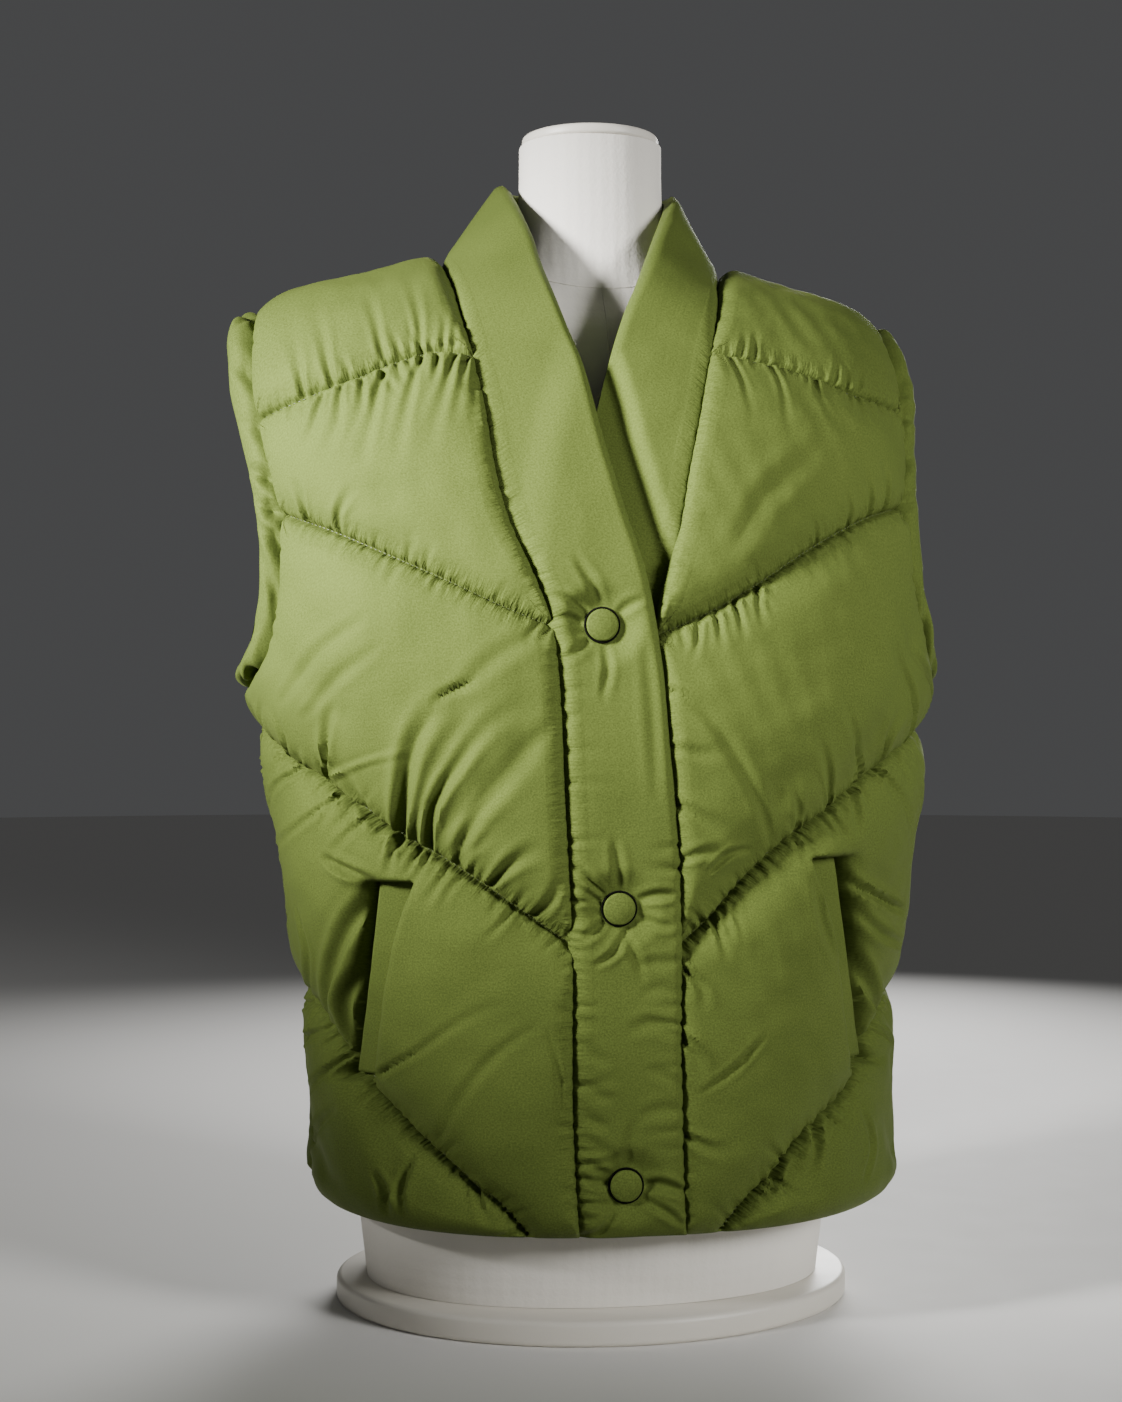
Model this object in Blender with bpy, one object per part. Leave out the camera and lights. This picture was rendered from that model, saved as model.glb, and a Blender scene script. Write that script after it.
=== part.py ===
"""Puffer vest with a wrap-over shawl band, standing on a limbless tabletop dress form.

Frame: metres, +Z up, origin on the floor under the form. The front looks along -Y and the
wearer's right side is at -X. Every cloth piece is a padded wall: a plain inner skin on the
vest's body shape and an outer skin that is raised between its stitch lines.
"""

from math import cos, pi, radians, sin

import bmesh
import bpy
import numpy as np
from mathutils import Matrix, Vector
from mathutils.bvhtree import BVHTree

COLLECTION = "puffer_vest_on_dress_form"

# ---------------------------------------------------------------- driving dimensions (m)
SEAM_GAP = 0.0003          # between two pieces that are sewn together
HEM_HEIGHT = 0.075         # hem above the floor, at the middle
HEM_SIDE_HEIGHT = 0.081    # and at the side seams
RIDGE_Y = 0.012            # the shoulder seams lie just behind the middle
ROUNDNESS = 2.4            # 2 is an ellipse, more is squarer
SHOULDER_FALL = 4.7        # how fast the shoulders drop to front and back (1/m)
SHOULDER_ROUND = 0.05      # blend from the shoulder tops into the chest and back
SHOULDER_SHIFT = -0.0175   # the shoulders hang a little to the wearer's right
PLACE = Vector((0.0033, 0.0059, 0.0))  # brings the middle of the whole over the origin
CORE_HEIGHT = 0.55         # the body shape is seen from the axis up to here

SEAM_THICK = 0.0045        # padding squeezed in a seam or stitch line
STITCH_FLAT = 0.0006       # half width of the flat line that the stitches pull in
PUFF_RISE = 0.0135         # rise of a quilted puff near its stitches
PUFF_REACH = 0.042         # distance from the stitches over which it rises
CROWN_RISE = 0.0070        # slower rise on to the middle of a wide puff
CROWN_REACH = 0.080
HEM_REACH = 0.022          # the hem is rounded over this distance
HEM_LEAD = 0.002
# How far each kind of line pulls the padding in: 1 is right down to the seam's thickness.
LINE_PULL = {"chevron_3": 1.0, "chevron_2": 1.0, "chevron_1": 0.9, "yoke": 0.5,
             "side": 0.7, "armhole": 1.0, "shoulder": 0.6, "band": 1.0}
# The padding stands up sooner beside some lines: these shares of the reaches above.
LINE_REACH = {"armhole": 0.42, "side": 0.8, "band": 0.8}

BAND_RISE = 0.0125         # padding of the front band above its seam thickness
BAND_SEAM_REACH = 0.026
BAND_EDGE_REACH = 0.014
BAND_EDGE_THICK = 0.004
BAND_TURN = 0.30           # share of the width over which the band turns off the body
COLLAR_SLIM = 0.45         # the padding is thinner by this share in the standing collar
COLLAR_SLIM_FROM = 0.700
COLLAR_SLIM_OVER = 0.050
COVERED_THICK = 0.0050     # the under band where the over band presses on it
COVERED_UP_TO = 0.655      # height at which the over band has left the under band
OPEN_RAMP = 0.016          # the under band fills out over this distance beyond the edge
LIFT = COVERED_THICK + 0.0026
LIFT_RAMP = 0.008
LIFT_LEAD = (0.006, 0.016) # and full this far before the under band: placket, chest
CHEST_FROM = 0.470
CHEST_OVER = 0.040
LIFT_TOP = 0.690           # the over band has come down again at this height
LIFT_FADE = 0.030
LIFT_Y = -0.05             # only the front part is lifted
FREE_CLEAR = (0.004, 0.014) # puffs start this far beyond the free edge: placket, chest

NECK_X = -0.0088           # middle, half width and back reach of the neck seam
NECK_HALF = 0.0988
NECK_BACK = 0.078
COLLAR_X = -0.002          # the same for the collar's top edge
COLLAR_HALF = 0.0575
COLLAR_BACK = 0.062
COLLAR_SIDE_TOP = (0.813, 0.810)
COLLAR_BACK_TOP = 0.822

CUFF_WIDTH = 0.028         # the armhole band stands out from its seam
CUFF_OUT = 0.0135
CUFF_UNDER = 0.70          # at the underarm this share of the outward padding is left out
CUFF_OVER = 0.60           # and at the shoulder this share is added
CUFF_TOP_WIDER = 0.004     # it is also wider there
CUFF_IN = 0.0080
CUFF_LEAN = 0.30           # it leans in towards the middle of the armhole
CUFF_TIP = 0.0015          # half thickness of the turned edge
CUFF_SKEW = 1.10           # fattest beyond the middle of its width
CUFF_FULLNESS = 0.7

WELT_THICK = 0.0028
WELT_CLEAR = 0.0009
WELT_INSET = 0.0012
WELT_RUN = (0.07, 0.985)   # the strip's ends, as shares from the foot to the top
WELT_BED_OVER = 0.016      # the pressed bed runs on past the welt's top
WELT_BED_MARGIN = 0.0020   # and this far past its long edges
WELT_REACH = 0.016         # the puffs beside the bed stand up over this distance

CAP_RADIUS = 0.0108
CAP_RIM = 0.0016
CAP_HEIGHT = 0.0048
CAP_CLEAR = 0.0004
DIMPLE_FLOOR = 0.012
DIMPLE_REACH = 0.030
DIMPLE_DEPTH = 0.0070

HIGH_SECTION = 0.690       # above this the band settles on the body along the rays

BOARD_THICK = 0.018
BOARD_HALF = (0.188, 0.152)
BOARD_BEVEL = 0.004
FORM_CLEAR = 0.0030        # form's shoulders under the vest's inner skin
NECK_TOP = 0.845
NECK_CAP_THICK = 0.008
NECK_CAP_HALF = 0.0505
NECK_CAP_BEVEL = 0.0025

# Cells of the quilted grids: rows between the cross lines, from the hem up, and columns.
ROWS = (5, 8, 2, 6, 6, 4)
FRONT_COLUMNS = (1, 5, 2, 6)
FIRST_COLUMN = 0.0100      # width of the cell along the band seam
SHOULDER_COLUMNS = 6
NECK_COLUMNS = 12
BAND_COLUMNS = 9
CUFF_COLUMNS = 6
UNDERARM_ROW = sum(ROWS[:3])
CROWDING = 0.65            # how far cells crowd at the stitch lines; 0 spaces them evenly
SHOULDER_KNOTS = (0.45, 0.60)
TAIL_START = 0.022         # the lowest stitch line bends to the hem over this width


class Table:
    """Rows of sizes with named columns, read as smooth curves along the first column."""

    def __init__(self, names, rows):
        self.names = names.split()
        self.rows = np.array(sorted(rows), dtype=float)

    def column(self, name):
        return self.rows[:, self.names.index(name)]

    def at(self, name, where):
        xs, ys = self.rows[:, 0], self.column(name)
        where = np.clip(where, xs[0], xs[-1])
        i = np.clip(np.searchsorted(xs, where) - 1, 0, len(xs) - 2)
        slopes = np.gradient(ys, xs)
        step = xs[i + 1] - xs[i]
        t = (where - xs[i]) / step
        ahead = (2 * t**3 - 3 * t**2 + 1) * ys[i] + (t**3 - 2 * t**2 + t) * step * slopes[i]
        behind = (3 * t**2 - 2 * t**3) * ys[i + 1] + (t**3 - t**2) * step * slopes[i + 1]
        return ahead + behind


# Rings of the vest's inner skin.
BODY = Table("z shift half front back", [
    (0.050, 0.0060, 0.195, 0.143, 0.141),
    (0.120, 0.0060, 0.191, 0.142, 0.140),
    (0.180, 0.0040, 0.192, 0.143, 0.139),
    (0.250, 0.0020, 0.200, 0.145, 0.138),
    (0.310, 0.0020, 0.207, 0.148, 0.138),
    (0.380, 0.0000, 0.219, 0.151, 0.139),
    (0.450, -0.003, 0.231, 0.152, 0.140),
    (0.520, -0.006, 0.230, 0.149, 0.139),
    (0.590, -0.011, 0.228, 0.140, 0.136),
    (0.660, -0.0165, 0.2275, 0.124, 0.128),
    (0.720, -0.0200, 0.2295, 0.104, 0.112),
    (0.780, -0.0200, 0.2295, 0.090, 0.098),
])

# Height of the shoulder line over the distance from the shoulders' middle.
SHOULDER_LINE = Table("reach z", [
    (0.00, 0.7570),
    (0.06, 0.7520),
    (0.10, 0.7405),
    (0.14, 0.7255),
    (0.18, 0.7160),
    (0.21, 0.7105),
    (0.25, 0.7030),
])

# One half of an armhole, seen from the side: the front edge and the back edge.
ARMHOLE = Table("z front back", [
    (0.4475, 0.000, 0.000),
    (0.4500, -0.022, 0.024),
    (0.4600, -0.050, 0.050),
    (0.4900, -0.073, 0.070),
    (0.5300, -0.080, 0.078),
    (0.5700, -0.076, 0.078),
    (0.6150, -0.063, 0.074),
    (0.6550, -0.049, 0.066),
    (0.6920, -0.024, 0.045),
    (0.7105, 0.012, 0.012),
])
SHOULDER_TIP = 0.2245
UNDERARM = 0.4475

# The over band (wearer's right): x of its seam by height.
OVER_SEAM = Table("z x", [
    (0.075, -0.0310),
    (0.160, -0.0350),
    (0.270, -0.0360),
    (0.377, -0.0420),
    (0.458, -0.0465),
    (0.486, -0.0500),
    (0.519, -0.0620),
    (0.556, -0.0780),
    (0.586, -0.0855),
    (0.631, -0.0920),
    (0.688, -0.1020),
    (0.722, -0.1065),
])

# The under band (wearer's left): x of its seam by height.
UNDER_SEAM = Table("z x", [
    (0.075, 0.0340),
    (0.160, 0.0310),
    (0.250, 0.0300),
    (0.330, 0.0280),
    (0.410, 0.0205),
    (0.458, 0.0160),
    (0.498, 0.0200),
    (0.526, 0.0280),
    (0.564, 0.0370),
    (0.591, 0.0420),
    (0.623, 0.0500),
    (0.657, 0.0590),
    (0.685, 0.0670),
    (0.722, 0.0780),
])

# Free edges of the bands, opposite the seam's height. Where lies is 1 the edge is on the
# chest and y is the body's own; where it is 0 the collar stands free of it.
OVER_EDGE = Table("seam_z x y z lies", [
    (0.075, 0.0400, -0.143, 0.075, 1),
    (0.160, 0.0370, -0.143, 0.160, 1),
    (0.250, 0.0360, -0.145, 0.250, 1),
    (0.330, 0.0340, -0.149, 0.330, 1),
    (0.410, 0.0265, -0.152, 0.410, 1),
    (0.458, 0.0215, -0.152, 0.462, 1),
    (0.497, 0.0120, -0.150, 0.517, 1),
    (0.538, -0.0030, -0.144, 0.566, 1),
    (0.574, -0.0160, -0.137, 0.612, 1),
    (0.612, -0.0255, -0.124, 0.655, 1),
    (0.655, -0.0380, -0.100, 0.702, 0.4),
    (0.695, -0.0475, -0.064, 0.745, 0),
    (0.729, -0.0550, -0.028, 0.787, 0),
    (0.745, -0.0595, 0.012, 0.813, 0),
])
UNDER_EDGE = Table("seam_z x y z lies", [
    (0.075, -0.0200, -0.143, 0.075, 1),
    (0.160, -0.0240, -0.143, 0.160, 1),
    (0.250, -0.0255, -0.145, 0.250, 1),
    (0.330, -0.0290, -0.149, 0.330, 1),
    (0.410, -0.0330, -0.152, 0.410, 1),
    (0.458, -0.0355, -0.152, 0.462, 1),
    (0.498, -0.0370, -0.150, 0.515, 1),
    (0.538, -0.0320, -0.144, 0.565, 1),
    (0.574, -0.0235, -0.137, 0.607, 1),
    (0.612, -0.0110, -0.124, 0.652, 1),
    (0.655, 0.0040, -0.102, 0.695, 0.4),
    (0.693, 0.0205, -0.080, 0.733, 0),
    (0.722, 0.0380, -0.050, 0.772, 0),
    (0.734, 0.0500, -0.020, 0.796, 0),
    (0.742, 0.0560, 0.012, 0.810, 0),
])

# Cross lines of the fronts, from the band seam out to the side: x and height. The first and
# last rows give only the height at which the line meets the band seam and the side.
RIGHT_LINES = {
    "chevron_3": [(0, 0.100), (-0.060, 0.098), (-0.089, 0.102), (-0.107, 0.118), (-0.140, 0.150),
                  (-0.164, 0.180), (-0.180, 0.208), (0, 0.238)],
    "chevron_2": [(0, 0.271), (-0.074, 0.298), (-0.115, 0.327), (-0.146, 0.346),
                  (-0.191, 0.381), (-0.218, 0.405), (0, 0.426)],
    "underarm": [(0, 0.300), (-0.115, 0.356), (-0.160, 0.388), (-0.205, 0.424), (0, UNDERARM)],
    "chevron_1": [(0, 0.484), (-0.079, 0.496), (-0.104, 0.508), (-0.129, 0.520),
                  (-0.160, 0.535), (-0.190, 0.550), (0, 0.564)],
    "yoke": [(0, 0.661), (-0.121, 0.664), (-0.143, 0.659), (-0.175, 0.647), (-0.207, 0.637),
             (0, 0.630)],
}
LEFT_LINES = {
    "chevron_3": [(0, 0.100), (0.060, 0.096), (0.087, 0.101), (0.108, 0.122), (0.130, 0.144),
                  (0.155, 0.164), (0.168, 0.188), (0.181, 0.211), (0, 0.238)],
    "chevron_2": [(0, 0.266), (0.056, 0.289), (0.077, 0.313), (0.105, 0.338), (0.136, 0.359),
                  (0.164, 0.380), (0.205, 0.408), (0, 0.426)],
    "underarm": [(0, 0.300), (0.105, 0.366), (0.150, 0.395), (0.200, 0.429), (0, UNDERARM)],
    "chevron_1": [(0, 0.478), (0.056, 0.495), (0.086, 0.512), (0.120, 0.534), (0.146, 0.549),
                  (0.170, 0.561), (0, 0.572)],
    "yoke": [(0, 0.667), (0.093, 0.662), (0.118, 0.657), (0.143, 0.650), (0.159, 0.645),
             (0, 0.638)],
}
CHEVRON_3_ENDS = (0.064, 0.0765)      # the lowest stitch line runs out at the hem here
HEM_LINE = ((0.060, 0.0750), (0.100, 0.0757), (0.140, 0.0772), (0.175, 0.0796))

# Cross lines of the back: distance from the centre back and height; the last row is the side.
BACK_LINES = {
    "chevron_3": [(0.000, 0.096), (0.060, 0.100), (0.100, 0.122), (0.140, 0.160), (0.180, 0.205)],
    "chevron_2": [(0.000, 0.262), (0.060, 0.296), (0.120, 0.336), (0.180, 0.380)],
    "underarm": [(0.000, 0.300), (0.060, 0.330), (0.120, 0.366), (0.180, 0.408)],
    "chevron_1": [(0.000, 0.470), (0.060, 0.497), (0.120, 0.526), (0.170, 0.549)],
    "yoke": [(0.000, 0.676), (0.060, 0.673), (0.120, 0.662), (0.170, 0.648)],
}
LINE_ORDER = ("hem", "chevron_3", "chevron_2", "underarm", "chevron_1", "yoke", "shoulder")
STITCHED = ("chevron_3", "chevron_2", "chevron_1", "yoke")

# Pocket welts: x of the two long edges at the top and the foot.
WELTS = {
    -1: {"top": (0.135, 0.159, 0.318), "foot": (0.157, 0.171, 0.168)},
    1: {"top": (0.122, 0.146, 0.332), "foot": (0.156, 0.174, 0.172)},
}

# Snap caps on the over band: x and height.
CAPS = [(-0.0185, 0.485), (-0.0065, 0.297), (-0.0010, 0.110)]

# Largest folds of each panel: soft troughs from one point to another.
FOLD_COLUMNS = "x1 z1 x2 z2 half_width depth"
FOLDS = {
    "front_right": [
        (-0.138, 0.345, -0.104, 0.430, 0.011, 0.0060),
        (-0.128, 0.340, -0.070, 0.408, 0.010, 0.0045),
        (-0.192, 0.385, -0.186, 0.440, 0.012, 0.0045),
        (-0.162, 0.306, -0.188, 0.222, 0.012, 0.0060),
        (-0.192, 0.150, -0.172, 0.098, 0.010, 0.0050),
        (-0.150, 0.146, -0.137, 0.108, 0.009, 0.0040),
        (-0.215, 0.470, -0.180, 0.430, 0.010, 0.0040),
    ],
    "front_left": [
        (0.145, 0.375, 0.195, 0.475, 0.011, 0.0045),
        (0.150, 0.325, 0.188, 0.288, 0.011, 0.0060),
        (0.158, 0.262, 0.190, 0.208, 0.011, 0.0055),
        (0.060, 0.300, 0.100, 0.380, 0.010, 0.0035),
        (0.170, 0.160, 0.188, 0.110, 0.010, 0.0045),
        (0.115, 0.135, 0.120, 0.098, 0.009, 0.0035),
    ],
    "back": [
        (-0.150, 0.355, -0.110, 0.435, 0.012, 0.0055),
        (0.140, 0.350, 0.165, 0.440, 0.012, 0.0050),
        (-0.060, 0.300, -0.050, 0.390, 0.011, 0.0035),
        (0.070, 0.180, 0.110, 0.250, 0.012, 0.0045),
        (-0.120, 0.150, -0.165, 0.240, 0.012, 0.0050),
        (0.100, 0.540, 0.150, 0.610, 0.012, 0.0045),
        (-0.090, 0.520, -0.130, 0.600, 0.012, 0.0045),
        (-0.160, 0.100, -0.150, 0.150, 0.010, 0.0045),
        (0.150, 0.100, 0.160, 0.160, 0.010, 0.0040),
    ],
}

# Rings of the dress form, tilted so that the upper ones climb the shoulders to the neck.
FORM = Table("level side_z front_z back_z half front back", [
    (0, 0.0183, 0.0183, 0.0183, 0.166, 0.118, 0.126),
    (1, 0.075, 0.075, 0.075, 0.172, 0.123, 0.133),
    (2, 0.135, 0.135, 0.135, 0.173, 0.121, 0.135),
    (3, 0.200, 0.200, 0.200, 0.160, 0.111, 0.124),
    (4, 0.270, 0.270, 0.270, 0.136, 0.097, 0.103),
    (5, 0.335, 0.335, 0.335, 0.122, 0.091, 0.090),
    (6, 0.400, 0.400, 0.400, 0.130, 0.104, 0.094),
    (7, 0.460, 0.460, 0.460, 0.143, 0.123, 0.102),
    (8, 0.505, 0.505, 0.505, 0.149, 0.129, 0.107),
    (9, 0.560, 0.555, 0.560, 0.152, 0.117, 0.110),
    (10, 0.625, 0.605, 0.620, 0.162, 0.102, 0.110),
    (11, 0.680, 0.650, 0.675, 0.174, 0.090, 0.103),
    (12, 0.711, 0.680, 0.700, 0.168, 0.082, 0.090),
    (13, 0.728, 0.702, 0.722, 0.145, 0.075, 0.079),
    (14, 0.739, 0.714, 0.738, 0.112, 0.068, 0.069),
    (15, 0.745, 0.724, 0.751, 0.078, 0.061, 0.063),
    (16, 0.757, 0.737, 0.766, 0.063, 0.056, 0.060),
    (17, 0.782, 0.765, 0.788, 0.0555, 0.0520, 0.0565),
    (18, 0.808, 0.802, 0.812, 0.0530, 0.0500, 0.0550),
    (19, NECK_TOP, NECK_TOP, NECK_TOP, 0.0525, 0.0500, 0.0550),
])
FORM_ROUNDNESS = 2.15
FORM_RINGS = 30
FORM_SIDES = 32
FORM_NECK_Y = 0.010
CLIPPED_OVER = 0.070       # the shoulders under the cloth are everything wider than this

# Name: colour (linear), roughness, metallic.
MATERIALS = {
    "green_shell": ((0.105, 0.165, 0.022), 0.45, 0.0),
    "green_band": ((0.110, 0.172, 0.024), 0.45, 0.0),
    "green_trim": ((0.085, 0.140, 0.018), 0.48, 0.0),
    "green_cap": ((0.095, 0.150, 0.020), 0.45, 0.0),
    "canvas": ((0.72, 0.69, 0.63), 0.9, 0.0),
    "painted_wood": ((0.60, 0.56, 0.50), 0.5, 0.0),
}


# ---------------------------------------------------------------- the vest's body shape
def smooth_max(a, b, blend):
    h = np.maximum(blend - np.abs(a - b), 0) / blend
    return np.maximum(a, b) + h * h * blend / 4


def smooth_step(t):
    t = np.clip(t, 0, 1)
    return t * t * (3 - 2 * t)


def unit(vectors):
    return vectors / np.linalg.norm(vectors, axis=-1, keepdims=True)


def arc_rise(t):
    """Quarter circle: steep at 0, level at 1 and on."""
    t = np.clip(t, 0, 1)
    return np.sqrt(1 - (1 - t) ** 2)


def shoulder_height(points):
    reach = np.abs(points[..., 0] - SHOULDER_SHIFT)
    return SHOULDER_LINE.at("z", reach) - SHOULDER_FALL * (points[..., 1] - RIDGE_Y) ** 2


def body_depth(points):
    """How far points lie outside the vest's inner skin, and negative inside it."""
    x, y, z = points[..., 0], points[..., 1], points[..., 2]
    shift = BODY.at("shift", z)
    half = BODY.at("half", z)
    deep = np.where(y < 0, BODY.at("front", z), BODY.at("back", z))
    size = (np.abs((x - shift) / half) ** ROUNDNESS + np.abs(y / deep) ** ROUNDNESS)
    size = np.maximum(size, 1e-9) ** (1 / ROUNDNESS)
    around = np.hypot(x - shift, y) * (1 - 1 / size)
    return smooth_max(around, z - shoulder_height(points), SHOULDER_ROUND)


def meet_body(start, direction, reach=0.6, level=0.0):
    """Where rays that start inside the body leave it, or leave a skin parallel to it."""
    near = np.zeros(start.shape[:-1])
    far = np.full(start.shape[:-1], reach)
    for _ in range(36):
        middle = (near + far) / 2
        inside = body_depth(start + middle[..., None] * direction) < level
        near = np.where(inside, middle, near)
        far = np.where(inside, far, middle)
    return start + near[..., None] * direction


def on_body(points, level=0.0):
    """Points moved on to the body, straight away from its axis."""
    core = np.stack([BODY.at("shift", points[..., 2]), np.zeros(points.shape[:-1]),
                     np.minimum(points[..., 2], CORE_HEIGHT)], axis=-1)
    return meet_body(core, unit(points - core), level=level)


def on_front(x, z):
    """The point of the front that lies at x and height z."""
    x, z = np.broadcast_arrays(np.asarray(x, float), np.asarray(z, float))
    start = np.stack([x, np.full(x.shape, RIDGE_Y), z], axis=-1)
    return meet_body(start, np.array([0.0, -1.0, 0.0]))


def on_back(x, z):
    x, z = np.broadcast_arrays(np.asarray(x, float), np.asarray(z, float))
    start = np.stack([x, np.full(x.shape, RIDGE_Y), z], axis=-1)
    return meet_body(start, np.array([0.0, 1.0, 0.0]))


def on_top(x, y):
    x, y = np.broadcast_arrays(np.asarray(x, float), np.asarray(y, float))
    start = np.stack([x, y, np.full(x.shape, CORE_HEIGHT)], axis=-1)
    return meet_body(start, np.array([0.0, 0.0, 1.0]))


def body_normals(points):
    step = 0.001
    slopes = []
    for axis in range(3):
        move = np.zeros(3)
        move[axis] = step
        slopes.append(body_depth(points + move) - body_depth(points - move))
    return unit(np.stack(slopes, axis=-1))


# ---------------------------------------------------------------- curves on the body
def lengths(points):
    steps = np.linalg.norm(np.diff(points, axis=0), axis=1)
    return np.concatenate([[0.0], np.cumsum(steps)])


def at_lengths(points, wanted):
    run = lengths(points)
    return np.stack([np.interp(wanted, run, points[:, k]) for k in range(3)], axis=1)


def smooth_path(points, count=160):
    """A smooth curve through a few points, as closely spaced points on the body."""
    run = lengths(points)
    table = Table("run x y z", np.column_stack([run, points]).tolist())
    wanted = np.linspace(0, run[-1], count)
    return on_body(np.stack([table.at(k, wanted) for k in "xyz"], axis=1))


def band_seam(side):
    """Seam of a front with its band, from the hem up to the shoulder seam."""
    table = OVER_SEAM if side < 0 else UNDER_SEAM
    heights = np.linspace(HEM_HEIGHT, table.rows[-1, 0], 120)
    front = on_front(table.at("x", heights), heights)
    top = on_top(NECK_X + side * NECK_HALF, RIDGE_Y)
    blend = np.linspace(0, 1, 12)[1:, None]
    rise = front[-1] * (1 - blend) + top * blend
    return np.vstack([front, on_body(rise)])


def armhole(side, face):
    """Half an armhole, from the underarm up to the shoulder tip."""
    heights = np.concatenate([ARMHOLE.rows[0, 0] + 0.004 * np.linspace(0, 1, 14) ** 2,
                              np.linspace(0.452, ARMHOLE.rows[-1, 0], 90)])
    y = ARMHOLE.at(face, heights)
    x = BODY.at("shift", heights) + side * SHOULDER_TIP
    return on_body(np.stack([x, y, heights], axis=1))


def side_seam(side):
    heights = np.linspace(HEM_SIDE_HEIGHT, UNDERARM, 80)
    x = BODY.at("shift", heights) + side * BODY.at("half", heights)
    return on_body(np.stack([x, np.zeros(80), heights], axis=1))


def neck_seam(side):
    """Half the back neck seam, from the centre back to the shoulder seam."""
    angle = np.linspace(0, pi / 2, NECK_COLUMNS // 2 + 1)
    return on_top(NECK_X + side * NECK_HALF * np.sin(angle), RIDGE_Y + NECK_BACK * np.cos(angle))


def shoulder_seam(side):
    start = on_top(NECK_X + side * NECK_HALF, RIDGE_Y)
    end = armhole(side, "front")[-1]
    blend = np.linspace(0, 1, 40)[:, None]
    return on_body(start * (1 - blend) + end * blend)


def where_height(curve, z):
    """The length along a rising curve at which it reaches height z."""
    return np.interp(z, curve[:, 2], lengths(curve))


def spread(count):
    """Cell edges that are closer together at both ends, where the padding rises."""
    k = np.arange(count + 1) / count
    return (1 - CROWDING) * k + CROWDING * (1 - np.cos(pi * k)) / 2


# ---------------------------------------------------------------- grids of the panels
def edge_rows(curve, heights):
    """Points of a panel's long edge at every row of its grid."""
    stops = [where_height(curve, z) for z in heights]
    stops[0], stops[-1] = 0.0, lengths(curve)[-1]
    rows = [at_lengths(curve, [stops[0]])]
    for start, end, count in zip(stops, stops[1:], ROWS):
        rows.append(at_lengths(curve, start + (end - start) * spread(count)[1:]))
    return np.vstack(rows)


def outer_edge(side, face, heights):
    """Side seam and armhole edge of a panel at every row of its grid."""
    low = side_seam(side)
    high = armhole(side, face)
    rows = [at_lengths(low, [0.0])]
    stops = [where_height(low, z) for z in heights[:3]] + [lengths(low)[-1]]
    stops[0] = 0.0
    for start, end, count in zip(stops, stops[1:], ROWS[:3]):
        rows.append(at_lengths(low, start + (end - start) * spread(count)[1:]))
    stops = [0.0] + [where_height(high, z) for z in heights[4:6]] + [lengths(high)[-1]]
    for start, end, count in zip(stops, stops[1:], ROWS[3:]):
        rows.append(at_lengths(high, start + (end - start) * spread(count)[1:]))
    return np.vstack(rows)


def far_heights(table):
    """Heights of the cross lines at the side seam and the armhole."""
    between = [table[name][-1][1] for name in LINE_ORDER[1:-1]]
    return [HEM_HEIGHT] + between + [ARMHOLE.rows[-1, 0]]


def columns_along(curve, knots, counts):
    """Points of a cross line at every column; knots are lengths between groups of columns."""
    stops = [0.0] + list(knots) + [lengths(curve)[-1]]
    wanted = [0.0]
    for start, end, count in zip(stops, stops[1:], counts):
        wanted += list(start + (end - start) * np.arange(1, count + 1) / count)
    return at_lengths(curve, wanted)


def welt_x(side, z):
    """The welt's two long edges at height z, run on above and below it."""
    top, foot = WELTS[side]["top"], WELTS[side]["foot"]
    t = np.clip((z - foot[2]) / (top[2] - foot[2]), -0.4, 1.3)
    return [side * (foot[k] + (top[k] - foot[k]) * t) for k in (0, 1)]


def fill_grid(lines, near, far):
    """Rows of points between neighbouring cross lines, on the body."""
    rows = [lines[0]]
    done = 0
    u = np.linspace(0, 1, lines[0].shape[0])[None, :, None]
    for low, high, count in zip(lines, lines[1:], ROWS):
        v = spread(count)[:, None, None]
        left = near[done:done + count + 1][:, None]
        right = far[done:done + count + 1][:, None]
        between = (1 - v) * low[None] + v * high[None]
        sides = (1 - u) * left + u * right
        corners = ((1 - v) * ((1 - u) * low[0] + u * low[-1])
                   + v * ((1 - u) * high[0] + u * high[-1]))
        patch = between + sides - corners
        patch[1:-1, 1:-1] = on_body(patch[1:-1, 1:-1])
        patch[:, 0], patch[:, -1] = left[:, 0], right[:, 0]
        patch[-1] = high
        rows.extend(patch[1:])
        done += count
    return np.array(rows)


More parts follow.
